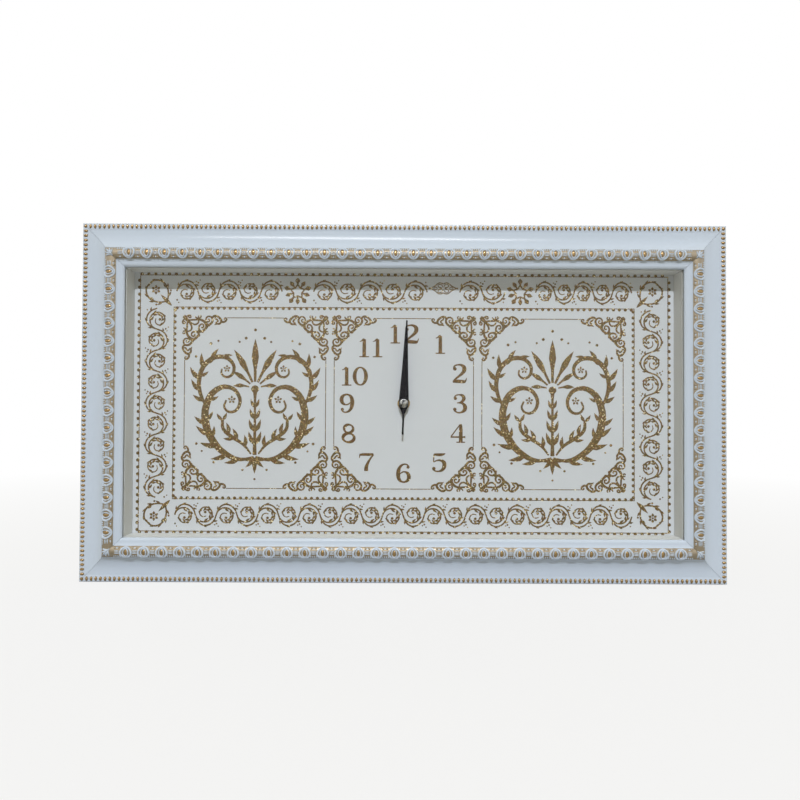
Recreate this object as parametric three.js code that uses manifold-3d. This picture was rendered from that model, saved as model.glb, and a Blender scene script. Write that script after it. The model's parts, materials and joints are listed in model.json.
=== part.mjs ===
// A framed wall clock: a moulded frame round a glazed shadow box, a printed canvas on a
// board for the dial, and a battery movement with its hands behind and before it.
//
// Lengths are in millimetres and angles in degrees. Each piece is modelled with x to the
// right, y up and z towards the viewer, from the middle of the dial on the wall plane.
// The group at the end turns z to -Y and y to +Z, and puts the origin on the back of the
// top rail's outer leg.

import * as THREE from "three";
import { mergeVertices } from "three/addons/utils/BufferGeometryUtils.js";
import Module from "manifold-3d";

const wasm = await Module();
wasm.setup();

// Clearances
const seatGap = 0.3; // between pieces that rest on each other
const runGap = 0.3; // round a shaft, tube or pin
const overrun = 1; // how far a cut runs past the face that it opens

// Frame
const frameWidth = 680;
const frameHeight = 378;
const railWidth = 48.5; // from the outer edge to the sight edge
const outerLeg = 14; // stands on the wall plane
const innerLeg = 10;
const innerLegRecess = 3.5; // from the wall plane to the inner leg's back
const channelDepth = 29; // hollow between the legs
const rebateWidth = 8; // the lip's cover over glass and board
const lipThickness = 4;

// Egg moulding on the frame's ridge
const eggPitch = 18.5;
const eggLength = 11.2; // along the rail
const eggWidth = 8.8;
const eggHeight = 2.2;

// Glass, spacers, canvas and board, which fill the rebate
const glassThickness = 2;
const spacerDepth = 19.1;
const canvasThickness = 0.5;
const boardThickness = 3;

// Frame fasteners
const pointThickness = 0.5; // glazing points that hold the board in
const pointWidth = 8;
const pointReach = 9; // over the board
const pointBite = 5.7; // into the rail
const cornerNailInset = 5; // corner nail's bend, from the frame's corner
const cornerNailLeg = 7;
const cornerNailThickness = 0.5;
const cornerNailDepth = 10;

// Sawtooth hangers
const hangerSpacing = 300;
const hangerLength = 42;
const hangerHeight = 8.4;
const hangerThickness = 0.8;
const hangerLift = 1.6; // middle of the hanger behind its ends
const hangerToothCount = 12;
const hangerToothPitch = 2;
const hangerToothDepth = 1;
const hangerNailRadius = 0.6;
const hangerNailHeadRadius = 1.6;
const hangerNailHeadThickness = 0.6;
const hangerNailBite = 5.5;

// Movement case
const caseRecess = 1.1; // from the wall plane to the movement's back
const caseSize = 56;
const caseDepth = 16;
const caseWall = 1.2;
const caseFrontWall = 1.1;
const caseCornerRadius = 3;
const partitionThickness = 1.1; // between the battery and the gears
const coverThickness = 1.2;
const lugSize = 2.5; // corner lugs that the rear cover rests on
const lugDepth = 4;
const gasketThickness = 1;
const gasketRadius = 14;

// Threaded boss with its washer and nut
const bossRadius = 4;
const bossLength = 8.9;
const washerRadius = 6.8;
const washerThickness = 0.5;
const nutAcrossFlats = 11.6;
const nutThickness = 2;

// Battery and its contacts
const batteryRadius = 7.25;
const batteryLength = 50.5;
const batteryCapRadius = 2.75;
const batteryCapLength = 1;
const batteryGap = 0.35; // to the bay's long walls
const contactThickness = 0.4;
const contactSpringTravel = 1.1;
const contactTabWidth = 1.4;

// Gear teeth, as shares of the module and of the pitch
const addendumShare = 0.75;
const dedendumShare = 1.1;
const tipShare = 0.2;
const rootShare = 0.5;

// Radius of a pin, which has the fewest sides, as a share of the boss
const pinSizeShare = 0.4;

// Gear train: modules, and where each shaft stands seen from the middle of the dial
const motionModule = 0.5;
const minuteModule = 0.427;
const secondModule = 0.587;
const rotorModule = 0.467;
const workAngle = 150;
const knobAngle = 120; // seen from the minute work wheel
const thirdAngle = 60;
const fifthAngle = -5;
const rotorAngle = 40; // seen from the fifth wheel

// Tooth counts
const cannonTeeth = 10;
const workTeeth = 30;
const workPinionTeeth = 8;
const hourTeeth = 32;
const minuteTeeth = 45;
const trainPinionTeeth = 6;
const thirdTeeth = 48;
const secondTeeth = 30;
const fifthTeeth = 36;

// Shafts and tubes
const arborRadius = 0.4;
const staffRadius = 0.5; // second hand's staff
const minuteTubeWall = 0.95;
const hourTubeWall = 0.55;
const workPostRadius = 0.8;
const knobShaftRadius = 1.4;
const knobRadius = 4.5;
const knobThickness = 2.2;
const bearingWall = 0.7; // round a pivot's hole
const bearingDepth = 1;
const pivotSink = 0.3; // of a pivot's hole into the plate behind it
const flangeRadius = 2.6;
const flangeThickness = 0.4;
const wheelThickness = 1;
const pinionThickness = 1.2;
const hourWheelThickness = 1.4;
const wheelRoom = 1; // free depth between two wheels

// Motor and circuit
const magnetRadius = 2.5;
const magnetLength = 3;
const magnetInset = 2.5; // behind the front plate
const magnetGap = 0.8; // to the stator's hole
const statorThickness = 1;
const statorRim = 1.4; // round the magnet's hole
const coreWidth = 3;
const coilRadius = 3;
const coilLength = 17;
const coilInset = 0.8; // from the coil to the case's top wall
const circuitThickness = 1;
const circuitWidth = 15.3;
const circuitHeight = 17.3;
const crystalRadius = 1;
const crystalLength = 6;
const chipRadius = 2.4;
const chipHeight = 1;
const postRadius = 1.2;
const postPinRadius = 0.6;

// Hands
const handThickness = 0.4;
const handRoom = 1.6; // free depth between two hands
const handTail = 12;
const handHubRadius = 5.2;
const handShoulder = 5.6; // where the blade starts to taper
const hourHandLength = 64;
const hourHandHalfWidth = 4.9;
const minuteHandLength = 84;
const minuteHandHalfWidth = 4.5;
const secondHandLength = 88.5;
const secondHandTail = 33.5;
const secondHandHalfWidth = 1.1;
const secondHandTipHalfWidth = 0.65;
const secondHubRadius = 1.2;
const minuteNutRadius = 3.4;
const minuteNutThickness = 1.2;
const capRadius = 4.9;
const capHeight = 2;
const hourTipShare = 0.35; // of the blade's width at the shoulder
const minuteTipShare = 0.25;
const handLean = -1.9; // the hands at rest, just past twelve

// Depth stack from the wall plane to the front
const caseFront = caseRecess + caseDepth;
const gasketRear = caseFront + seatGap;
const gasketFront = gasketRear + gasketThickness;
const boardRear = gasketFront + seatGap;
const boardFront = boardRear + boardThickness;
const canvasRear = boardFront + seatGap;
const canvasFront = canvasRear + canvasThickness;
const spacerRear = canvasFront + seatGap;
const spacerFront = spacerRear + spacerDepth;
const glassRear = spacerFront + seatGap;
const glassFront = glassRear + glassThickness;
const shoulder = glassFront + seatGap; // back of the lip
const railDepth = shoulder + lipThickness;
const pointFront = boardRear - seatGap;
const pointRear = pointFront - pointThickness;

// Layers inside the movement, from its front plate to its rear cover
const frontInner = caseFront - caseFrontWall;
const coverInner = caseRecess + coverThickness;
const hourLayer = layerBehind(frontInner, runGap, hourWheelThickness);
const cannonLayer = layerBehind(hourLayer.rear, flangeThickness, pinionThickness);
const clutchLayer = layerBehind(cannonLayer.rear, runGap, flangeThickness);
const minuteLayer = layerBehind(clutchLayer.rear, runGap, wheelThickness);
const flangeLayer = layerBehind(minuteLayer.rear, runGap, flangeThickness);
const thirdLayer = layerBehind(flangeLayer.rear, runGap, wheelThickness);
const secondLayer = layerBehind(thirdLayer.rear, wheelRoom, wheelThickness);
const fifthLayer = layerBehind(secondLayer.rear, wheelRoom, wheelThickness);
const frontBearing = { rear: frontInner - bearingDepth, front: frontInner + pivotSink + runGap };
const rearBearing = { rear: coverInner - pivotSink, front: coverInner + bearingDepth };
const pivotFront = frontInner + pivotSink;
const pivotRear = coverInner;

// Tubes round the second hand's staff
const minuteTubeBore = staffRadius + runGap;
const minuteTubeRadius = minuteTubeBore + minuteTubeWall;
const hourTubeBore = minuteTubeRadius + runGap;
const hourTubeRadius = hourTubeBore + hourTubeWall;
const bossBore = hourTubeRadius + runGap;
const bossHole = bossRadius + seatGap; // through gasket, board, canvas, washer and nut

// Hands in front of the boss
const bossFront = caseFront + bossLength;
const hourHandRear = bossFront + handRoom / 2;
const hourHandFront = hourHandRear + handThickness;
const minuteHandRear = hourHandFront + handRoom;
const minuteHandFront = minuteHandRear + handThickness;
const minuteNutRear = minuteHandFront + seatGap;
const minuteNutFront = minuteNutRear + minuteNutThickness;
const secondHandRear = minuteNutFront + handRoom / 2;
const secondHandFront = secondHandRear + handThickness;
const capRear = secondHandFront + seatGap;

// Battery bay
const caseInner = caseSize / 2 - caseWall;
const bayTop = 2 * (batteryRadius + batteryGap) - caseInner;
const gearRoomBottom = bayTop + partitionThickness;
const batteryY = (bayTop - caseInner) / 2;
const batteryZ = frontInner - seatGap - batteryRadius;
const batteryRight = caseInner - contactThickness - 2 * seatGap; // end of the plus cap

// Shaft places in the movement
const workDistance = (motionModule * (cannonTeeth + workTeeth)) / 2;
const thirdDistance = (minuteModule * (minuteTeeth + trainPinionTeeth)) / 2;
const thirdModule = (2 * thirdDistance) / (thirdTeeth + trainPinionTeeth);
const hourModule = (2 * workDistance) / (hourTeeth + workPinionTeeth);
const fifthDistance = (secondModule * (secondTeeth + trainPinionTeeth)) / 2;
const rotorDistance = (rotorModule * (fifthTeeth + trainPinionTeeth)) / 2;
const dialAxis = new THREE.Vector2(0, 0);
const workAxis = placeFrom(dialAxis, workAngle, workDistance);
const knobAxis = placeFrom(workAxis, knobAngle, workDistance);
const thirdAxis = placeFrom(dialAxis, thirdAngle, thirdDistance);
const fifthAxis = placeFrom(dialAxis, fifthAngle, fifthDistance);
const rotorAxis = placeFrom(fifthAxis, rotorAngle, rotorDistance);

// Gears, each with the turn that puts it in mesh with the one before it
const cannonGear = gear(dialAxis, cannonTeeth, motionModule);
const workGear = gear(workAxis, workTeeth, motionModule, cannonGear);
const knobGear = gear(knobAxis, cannonTeeth, motionModule, workGear);
const workPinion = gear(workAxis, workPinionTeeth, hourModule);
const hourGear = gear(dialAxis, hourTeeth, hourModule, workPinion);
const secondPinion = gear(dialAxis, trainPinionTeeth, thirdModule);
const thirdGear = gear(thirdAxis, thirdTeeth, thirdModule, secondPinion);
const thirdPinion = gear(thirdAxis, trainPinionTeeth, minuteModule);
const minuteGear = gear(dialAxis, minuteTeeth, minuteModule, thirdPinion);
const secondGear = gear(dialAxis, secondTeeth, secondModule);
const fifthPinion = gear(fifthAxis, trainPinionTeeth, secondModule, secondGear);
const fifthGear = gear(fifthAxis, fifthTeeth, rotorModule);
const rotorPinion = gear(rotorAxis, trainPinionTeeth, rotorModule, fifthGear);

// Motor places
const magnetFront = frontInner - magnetInset;
const motorZ = magnetFront - magnetLength / 2;
const coilY = caseInner - coilInset - coilRadius;
const statorHole = magnetRadius + magnetGap;
const statorHalf = statorHole + statorRim; // half the plate round the magnet
const limbWidth = coreWidth;
const coilRight = rotorAxis.x + statorHalf - limbWidth;
const coilLeft = coilRight - coilLength;

// Circuit board, left of the gears and above the battery bay
const circuitFront = cannonLayer.rear - seatGap - flangeThickness / 2;
const circuitLeft = seatGap - caseInner + contactThickness / 2;
const circuitBottom = gearRoomBottom + pinionThickness;

// Materials
const frameWhite = new THREE.MeshStandardMaterial({ color: 0xe9eef2, roughness: 0.25 });
const boxWhite = new THREE.MeshStandardMaterial({ color: 0xd9dbda, roughness: 0.6 });
const canvasWhite = new THREE.MeshStandardMaterial({ color: 0xdfe4e6, roughness: 0.8 });
const hardboard = new THREE.MeshStandardMaterial({ color: 0x8a6b4a, roughness: 0.85 });
const clearGlass = new THREE.MeshStandardMaterial({
  color: 0xe8f2f0,
  roughness: 0.05,
  transparent: true,
  opacity: 0.2,
});
const steel = new THREE.MeshStandardMaterial({ color: 0xb9bcc0, roughness: 0.35, metalness: 1 });
const brass = new THREE.MeshStandardMaterial({ color: 0xc79a4a, roughness: 0.3, metalness: 1 });
const chrome = new THREE.MeshStandardMaterial({ color: 0xdcdfe2, roughness: 0.12, metalness: 1 });
const copper = new THREE.MeshStandardMaterial({ color: 0xb8693a, roughness: 0.4, metalness: 1 });
const blackPlastic = new THREE.MeshStandardMaterial({ color: 0x17181a, roughness: 0.45 });
const handBlack = new THREE.MeshStandardMaterial({ color: 0x1a1b1e, roughness: 0.35, metalness: 0.3 });
const gearWhite = new THREE.MeshStandardMaterial({ color: 0xe6e4dc, roughness: 0.5 });
const rubber = new THREE.MeshStandardMaterial({ color: 0x242424, roughness: 0.9 });
const circuitGreen = new THREE.MeshStandardMaterial({ color: 0x2c6b3f, roughness: 0.5 });
const batteryGrey = new THREE.MeshStandardMaterial({ color: 0x5c6670, roughness: 0.4, metalness: 0.6 });

// A layer of the movement, its thickness behind a gap behind the face in front of it
function layerBehind(face, gap, thickness) {
  const front = face - gap;
  return { front, rear: front - thickness };
}

function placeFrom(axis, degrees, distance) {
  const angle = THREE.MathUtils.degToRad(degrees);
  return new THREE.Vector2(
    axis.x + distance * Math.cos(angle),
    axis.y + distance * Math.sin(angle),
  );
}

// A gear's figures. Where its mate has a tooth on the line of centres, it has a gap.
function gear(axis, teeth, module, mate) {
  if (!mate) return { axis, teeth, module, turn: 0 };
  const line = Math.atan2(axis.y - mate.axis.y, axis.x - mate.axis.x);
  const matePhase = ((line - mate.turn) * mate.teeth) / (2 * Math.PI);
  const turn = line + Math.PI - ((0.5 - matePhase) * 2 * Math.PI) / teeth;
  return { axis, teeth, module, turn };
}

// A closed geometry as a solid, and back
function solid(geometry) {
  const bare = geometry.index ? geometry.toNonIndexed() : geometry.clone();
  bare.deleteAttribute("normal");
  bare.deleteAttribute("uv");
  const merged = mergeVertices(bare);
  return new wasm.Manifold(
    new wasm.Mesh({
      numProp: 3,
      vertProperties: merged.attributes.position.array,
      triVerts: new Uint32Array(merged.index.array),
    }),
  );
}

function geometryOf(body) {
  const mesh = body.getMesh();
  const geometry = new THREE.BufferGeometry();
  geometry.setAttribute("position", new THREE.BufferAttribute(mesh.vertProperties, 3));
  geometry.setIndex(new THREE.BufferAttribute(mesh.triVerts, 1));
  const flat = geometry.toNonIndexed();
  flat.computeVertexNormals();
  return flat;
}

function join(first, ...others) {
  return others.reduce((body, other) => body.add(other), first);
}

function cut(body, ...tools) {
  return tools.reduce((left, tool) => left.subtract(tool), body);
}

function mesh(name, shape, material) {
  const geometry = shape.isBufferGeometry ? shape : geometryOf(shape);
  const made = new THREE.Mesh(geometry, material);
  made.name = name;
  return made;
}

// An outline in the plane of the dial, from one depth to another
function plate(outline, rear, front) {
  const options = { depth: front - rear, bevelEnabled: false, curveSegments: 4 };
  return solid(new THREE.ExtrudeGeometry(outline, options).translate(0, 0, rear));
}

function polygon(points) {
  return new THREE.Shape(points.map(([x, y]) => new THREE.Vector2(x, y)));
}

function box(left, right, bottom, top, rear, front) {
  const geometry = new THREE.BoxGeometry(right - left, top - bottom, front - rear);
  return solid(
    geometry.translate((left + right) / 2, (bottom + top) / 2, (rear + front) / 2),
  );
}

// Sides of a round piece, fewer on a pin than on a ring
function roundSides(radius) {
  const share = radius / bossRadius;
  return share < pinSizeShare ? 10 : share < 1 ? 14 : share < 2 ? 20 : 28;
}

function disc(axis, radius, rear, front) {
  const sides = roundSides(radius);
  const geometry = new THREE.CylinderGeometry(radius, radius, front - rear, sides);
  geometry.rotateX(Math.PI / 2);
  return solid(geometry.translate(axis.x, axis.y, (rear + front) / 2));
}

function ring(axis, radius, bore, rear, front) {
  return cut(disc(axis, radius, rear, front), disc(axis, bore, rear - overrun, front + overrun));
}

function roundedSquare(half, radius) {
  const shape = new THREE.Shape();
  const straight = half - radius;
  shape.absarc(straight, straight, radius, 0, Math.PI / 2);
  shape.absarc(-straight, straight, radius, Math.PI / 2, Math.PI);
  shape.absarc(-straight, -straight, radius, Math.PI, 1.5 * Math.PI);
  shape.absarc(straight, -straight, radius, 1.5 * Math.PI, 2 * Math.PI);
  return shape;
}

function teethOutline({ teeth, module, turn }) {
  const pitchRadius = (teeth * module) / 2;
  const root = pitchRadius - dedendumShare * module;
  const tip = pitchRadius + addendumShare * module;
  const points = [];
  for (let tooth = 0; tooth < teeth; tooth++) {
    const flanks = [
      [root, -rootShare / 2],
      [tip, -tipShare / 2],
      [tip, tipShare / 2],
      [root, rootShare / 2],
    ];
    for (const [radius, share] of flanks) {
      const angle = turn + ((tooth + share) * 2 * Math.PI) / teeth;
      points.push([radius * Math.cos(angle), radius * Math.sin(angle)]);
    }
  }
  return polygon(points);
}

function toothed(figures, layer) {
  return plate(teethOutline(figures), layer.rear, layer.front).translate([
    figures.axis.x,
    figures.axis.y,
    0,
  ]);
}

// Frame rails

// Outlines of the rail's face, as shares of its width and of the depth to the lip
const beadBandShares = [
  [0, 0.773],
  [0.016, 0.808],
  [0.031, 0.8165],
  [0.052, 0.842],
  [0.092, 0.842],
  [0.113, 0.8165],
  [0.177, 0.821],
  [0.177, 0.814],
];
const coveBendShare = [0.4, 0.833];
const coveEndShare = [0.594, 1.025];
const ridgeShares = [
  [0.608, 1.043],
  [0.66, 1.072],
  [0.76, 1.072],
  [0.812, 1.031],
  [0.825, 0.988],
];
const lipShares = [
  [0.866, 0.979],
  [0.918, 1],
  [0.975, 1.002],
  [1, 0.975],
];
const eggCentreShare = [0.71, 1.071];

// The rail's section: x is the way in from the outer edge, y the way to the front
function railSection() {
  const face = ([inShare, depthShare]) => [inShare * railWidth, depthShare * railDepth];
  const rebateWall = railWidth - rebateWidth;
  const shape = new THREE.Shape();
  shape.moveTo(0, 0);
  for (const share of beadBandShares) shape.lineTo(...face(share));
  shape.quadraticCurveTo(...face(coveBendShare), ...face(coveEndShare));
  for (const share of [...ridgeShares, ...lipShares]) shape.lineTo(...face(share));
  shape.lineTo(railWidth, shoulder);
  shape.lineTo(rebateWall, shoulder);
  shape.lineTo(rebateWall, innerLegRecess);
  shape.lineTo(rebateWall - innerLeg, innerLegRecess);
  shape.lineTo(rebateWall - innerLeg, channelDepth);
  shape.lineTo(outerLeg, channelDepth);
  shape.lineTo(outerLeg, 0);
  return shape;
}

// A rail along the top, whose ends follow the mitres
function mitredRail(length, across) {
  const options = { depth: 1, bevelEnabled: false, curveSegments: 6 };
  const geometry = new THREE.ExtrudeGeometry(railSection(), options);
  const position = geometry.attributes.position;
  for (let i = 0; i < position.count; i++) {
    const inset = position.getX(i);
    const end = 1 - 2 * position.getZ(i);
    const x = end * (length / 2 - inset - seatGap / 2);
    position.setXYZ(i, x, across / 2 - inset, position.getY(i));
  }
  return solid(geometry);
}

function eggRow(length, across) {
  const [inset, height] = [eggCentreShare[0] * railWidth, eggCentreShare[1] * railDepth];
  const run = length - 2 * inset;
  const count = Math.round(run / eggPitch);
  const eggs = [];
  for (let i = 0; i < count; i++) {
    const egg = new THREE.SphereGeometry(1, 8, 3).rotateX(Math.PI / 2);
    egg.scale(eggLength / 2, eggWidth / 2, eggHeight);
    const x = (run / count) * (i - (count - 1) / 2);
    eggs.push(solid(egg.translate(x, across / 2 - inset, height)));
  }
  return eggs;
}

const sides = [
  { name: "top", turn: 0, length: frameWidth, across: frameHeight, pointShares: [-0.3, 0, 0.3] },
  { name: "left", turn: 90, length: frameHeight, across: frameWidth, pointShares: [0] },
  { name: "bottom", turn: 180, length: frameWidth, across: frameHeight, pointShares: [-0.3, 0, 0.3] },
  { name: "right", turn: 270, length: frameHeight, across: frameWidth, pointShares: [0] },
];

const corners = [
  { name: "bottom_left", turn: 0, x: -1, y: -1 },
  { name: "bottom_right", turn: 90, x: 1, y: -1 },
  { name: "top_right", turn: 180, x: 1, y: 1 },
  { name: "top_left", turn: 270, x: -1, y: 1 },
];

// An angled nail across a mitre: two legs from a bend on the mitre line
function cornerNail({ turn, x, y }, gap, rear) {
  const far = cornerNailLeg + gap;
  const thick = cornerNailThickness + gap;
  const outline = polygon([
    [-gap, -gap],
    [far, -gap],
    [far, thick],
    [thick, thick],
    [thick, far],
    [-gap, far],
  ]);
  return plate(outline, rear, cornerNailDepth + gap)
    .rotate([0, 0, turn])
    .translate([
      x * (frameWidth / 2 - cornerNailInset),
      y * (frameHeight / 2 - cornerNailInset),
      0,
    ]);
}

// Where a side's glazing points stand along its rebate
function pointPlaces({ length, pointShares }) {
  return pointShares.map((share) => share * (length - 2 * railWidth));
}

function glazingPoint(x, { turn, across }) {
  const half = pointWidth / 2;
  const outline = polygon([
    [x - half, -pointReach],
    [x + half, -pointReach],
    [x + half, pointBite / 2],
    [x, pointBite],
    [x - half, pointBite / 2],
  ]);
  return plate(outline, pointRear, pointFront)
    .translate([0, across / 2 - railWidth + rebateWidth, 0])
    .rotate([0, 0, turn]);
}

function pointSlot(x, { turn, across }) {
  const half = pointWidth / 2 + seatGap;
  return box(x - half, x + half, -overrun, pointBite + seatGap, pointRear - seatGap, pointFront + seatGap)
    .translate([0, across / 2 - railWidth + rebateWidth, 0])
    .rotate([0, 0, turn]);
}

function frameRail(side) {
  const rail = join(
    mitredRail(side.length, side.across),
    ...eggRow(side.length, side.across),
  ).rotate([0, 0, side.turn]);
  return cut(
    rail,
    ...corners.map((corner) => cornerNail(corner, seatGap, -overrun)),
    ...pointPlaces(side).map((x) => pointSlot(x, side)),
    ...(side.name === "top" ? hangerNailPlaces.map((place) => nailBore(place)) : []),
  );
}

// Sawtooth hangers on the back of the top rail's inner leg

const hangerY = frameHeight / 2 - railWidth + rebateWidth + innerLeg / 2;
const hangerFront = innerLegRecess - seatGap;
const hangerNailInset = hangerHeight / 2;
const hangerPlaces = { left: -hangerSpacing / 2, right: hangerSpacing / 2 };
const hangerNailPlaces = Object.values(hangerPlaces).flatMap((x) =>
  [-1, 1].map((end) => new THREE.Vector2(x + end * (hangerLength / 2 - hangerNailInset), hangerY)),
);

function hangerStrip() {
  const rampOut = hangerLength / 2 - 2 * hangerNailInset;
  const rampIn = rampOut - hangerLift;
  const bends = [
    [-hangerLength / 2, 0],
    [-rampOut, 0],
    [-rampIn, -hangerLift],
    [rampIn, -hangerLift],
    [rampOut, 0],
    [hangerLength / 2, 0],
  ];
  const behind = bends.map(([x, y]) => [x, y - hangerThickness]).reverse();
  const options = { depth: hangerHeight, bevelEnabled: false };
  const strip = new THREE.ExtrudeGeometry(polygon([...bends, ...behind]), options);
  return solid(strip.rotateX(Math.PI / 2)).translate([0, hangerHeight / 2, hangerFront]);
}

function hangerTeeth() {
  const half = (hangerToothCount * hangerToothPitch) / 2;
  const points = [
    [half, -hangerHeight],
    [half, 0],
  ];
  for (let i = hangerToothCount - 1; i >= 0; i--) {
    const left = i * hangerToothPitch - half;
    points.push([left + hangerToothPitch / 2, -hangerToothDepth], [left, 0]);
  }
  points.push([-half, -hangerHeight]);
  return plate(polygon(points), -overrun, innerLegRecess + overrun);
}

function hanger(x) {
  const strip = cut(hangerStrip(), hangerTeeth()).translate([x, hangerY, 0]);
  const holes = hangerNailPlaces.map((place) =>
    disc(place, hangerNailRadius + runGap, -overrun, innerLegRecess + overrun),
  );
  return cut(strip, ...holes);
}

function nailBore(place) {
  const depth = innerLegRecess + hangerNailBite + seatGap;
  return disc(place, hangerNailRadius + runGap, innerLegRecess - overrun, depth);
}

function hangerNail(place) {
  const headFront = hangerFront - hangerThickness - seatGap;
  return join(
    disc(place, hangerNailHeadRadius, headFront - hangerNailHeadThickness, headFront),
    disc(place, hangerNailRadius, headFront - hangerNailHeadThickness / 2, innerLegRecess + hangerNailBite),
  );
}

// Sheets and spacers in the rebate

const openingHalfWidth = frameWidth / 2 - railWidth + rebateWidth;
const openingHalfHeight = frameHeight / 2 - railWidth + rebateWidth;

function sheet(rear, front) {
  const halfWidth = openingHalfWidth - seatGap;
  const halfHeight = openingHalfHeight - seatGap;
  return box(-halfWidth, halfWidth, -halfHeight, halfHeight, rear, front);
}

function pierced(rear, front) {
  return cut(sheet(rear, front), disc(dialAxis, bossHole, rear - overrun, front + overrun));
}

// The spacers along the top and bottom run the whole width, those at the sides between
function spacer({ name, turn }) {
  const upright = name === "left" || name === "right";
  const outer = (upright ? openingHalfWidth : openingHalfHeight) - seatGap;
  const inner = outer + seatGap - rebateWidth;
  const half = upright
    ? openingHalfHeight - rebateWidth - seatGap
    : openingHalfWidth - seatGap;
  return box(-half, half, inner, outer, spacerRear, spacerFront).rotate([0, 0, turn]);
}

// Movement case, with its boss in front and the battery bay and gear room open behind

const bearingPlaces = [thirdAxis, fifthAxis, rotorAxis, knobAxis];
const statorPosts = [
  new THREE.Vector2(coilLeft - limbWidth / 2, coilY),
  new THREE.Vector2(coilRight + limbWidth / 2, (coilY + rotorAxis.y) / 2),
];
const circuitPosts = [
  new THREE.Vector2(circuitLeft + 2 * postRadius, circuitBottom + circuitHeight - 2 * postRadius),
  new THREE.Vector2(circuitLeft + circuitWidth / 2, circuitBottom + 2 * postRadius),
];
const pivotHole = arborRadius + runGap;

function supportPost(place, plateRear, plateFront) {
  return join(
    disc(place, postRadius, plateFront + seatGap, frontInner + caseFrontWall / 2),
    disc(place, postPinRadius, plateRear - seatGap, frontInner + caseFrontWall / 2),
  );
}

function coverLugs() {
  const rear = coverInner + seatGap;
  const reach = caseInner + caseWall / 2;
  const lugs = [];
  for (const side of [-1, 1]) {
    const x = side * (reach - lugSize / 2);
    for (const y of [gearRoomBottom + lugSize / 2 - caseWall / 2, reach - lugSize / 2])
      lugs.push(
        box(x - lugSize / 2, x + lugSize / 2, y - lugSize / 2, y + lugSize / 2, rear, rear + lugDepth),
      );
  }
  return lugs;
}

// A notch through the partition for each contact's tab, next to the case's side wall
function contactNotches() {
  const inner = caseInner - contactThickness - 2 * seatGap;
  const rear = circuitFront - seatGap;
  return [
    box(inner, caseInner, bayTop - overrun, gearRoomBottom + overrun, rear, frontInner),
    box(-caseInner, -inner, bayTop - overrun, gearRoomBottom + overrun, rear, frontInner),
  ];
}

function movementCase() {
  const rear = caseRecess - overrun;
  const shell = cut(
    plate(roundedSquare(caseSize / 2, caseCornerRadius), caseRecess, caseFront),
    box(-caseInner, caseInner, gearRoomBottom, caseInner, rear, frontInner),
    box(-caseInner, caseInner, -caseInner, bayTop, rear, frontInner),
  );
  const filled = join(
    shell,
    disc(dialAxis, bossRadius, caseFront - caseFrontWall / 2, bossFront),
    disc(workAxis, workPostRadius, cannonLayer.rear - seatGap, frontInner + caseFrontWall / 2),
    ...bearingPlaces.map((place) =>
      disc(place, pivotHole + bearingWall, frontBearing.rear, frontInner + caseFrontWall / 2),
    ),
    ...statorPosts.map((place) =>
      supportPost(place, motorZ - statorThickness / 2, motorZ + statorThickness / 2),
    ),
    ...circuitPosts.map((place) =>
      supportPost(place, circuitFront - circuitThickness, circuitFront),
    ),
    ...coverLugs(),
  );
  return cut(
    filled,
    disc(dialAxis, bossBore, frontInner - overrun, bossFront + overrun),
    ...bearingPlaces.map((place) =>
      disc(place, pivotHole, frontBearing.rear - overrun, frontBearing.front),
    ),
    ...contactNotches(),
  );
}

// Rear cover over the gears, with pivot holes and a well for the setting knob

function movementBack() {
  const edge = caseInner - seatGap;
  const wellWall = coverThickness / 2;
  const wellRadius = knobRadius + runGap;
  const wellFloor = caseRecess + knobThickness + runGap;
  const pivots = [dialAxis, thirdAxis, fifthAxis, rotorAxis];
  const hole = (place) => (place === dialAxis ? staffRadius : arborRadius) + runGap;
  const filled = join(
    box(-edge, edge, gearRoomBottom + seatGap, edge, caseRecess, coverInner),
    disc(knobAxis, wellRadius + wellWall, caseRecess, wellFloor + wellWall),
    ...pivots.map((place) => disc(place, hole(place) + bearingWall, caseRecess, rearBearing.front)),
  );
  return cut(
    filled,
    disc(knobAxis, wellRadius, caseRecess - overrun, wellFloor),
    disc(knobAxis, knobShaftRadius + runGap, caseRecess, wellFloor + overrun),
    ...pivots.map((place) => disc(place, hole(place), rearBearing.rear, rearBearing.front + overrun)),
  );
}

// Wheels and staffs

function arbor(axis, radius = arborRadius) {
  return disc(axis, radius, pivotRear, pivotFront);
}

function hourWheel() {
  const tubeFront = hourHandFront + seatGap;
  return cut(
    join(
      toothed(hourGear, hourLayer),
      disc(dialAxis, hourTubeRadius, hourLayer.rear, tubeFront),
    ),
    disc(dialAxis, hourTubeBore, hourLayer.rear - overrun, tubeFront + overrun),
  );
}

function minuteShaft() {
  const tubeFront = minuteNutFront - seatGap;
  const bore = disc(dialAxis, minuteTubeBore, flangeLayer.rear - overrun, tubeFront + overrun);
  return cut(
    join(
      disc(dialAxis, minuteTubeRadius, flangeLayer.rear, tubeFront),
      disc(dialAxis, flangeRadius, flangeLayer.rear, flangeLayer.front),
      disc(dialAxis, flangeRadius, clutchLayer.rear, clutchLayer.front),
      toothed(cannonGear, { rear: clutchLayer.rear, front: cannonLayer.front }),
    ),
    bore,
  );
}

function minuteWheel() {
  const hole = minuteTubeRadius + runGap;
  return cut(
    toothed(minuteGear, minuteLayer),
    disc(dialAxis, hole, minuteLayer.rear - overrun, minuteLayer.front + overrun),
  );
}

function minuteWorkWheel() {
  const bore = workPostRadius + runGap;
  return cut(
    join(
      toothed(workGear, cannonLayer),
      toothed(workPinion, { rear: cannonLayer.rear, front: hourLayer.front }),
    ),
    disc(workAxis, bore, cannonLayer.rear - overrun, hourLayer.front + overrun),
  );
}

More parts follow.
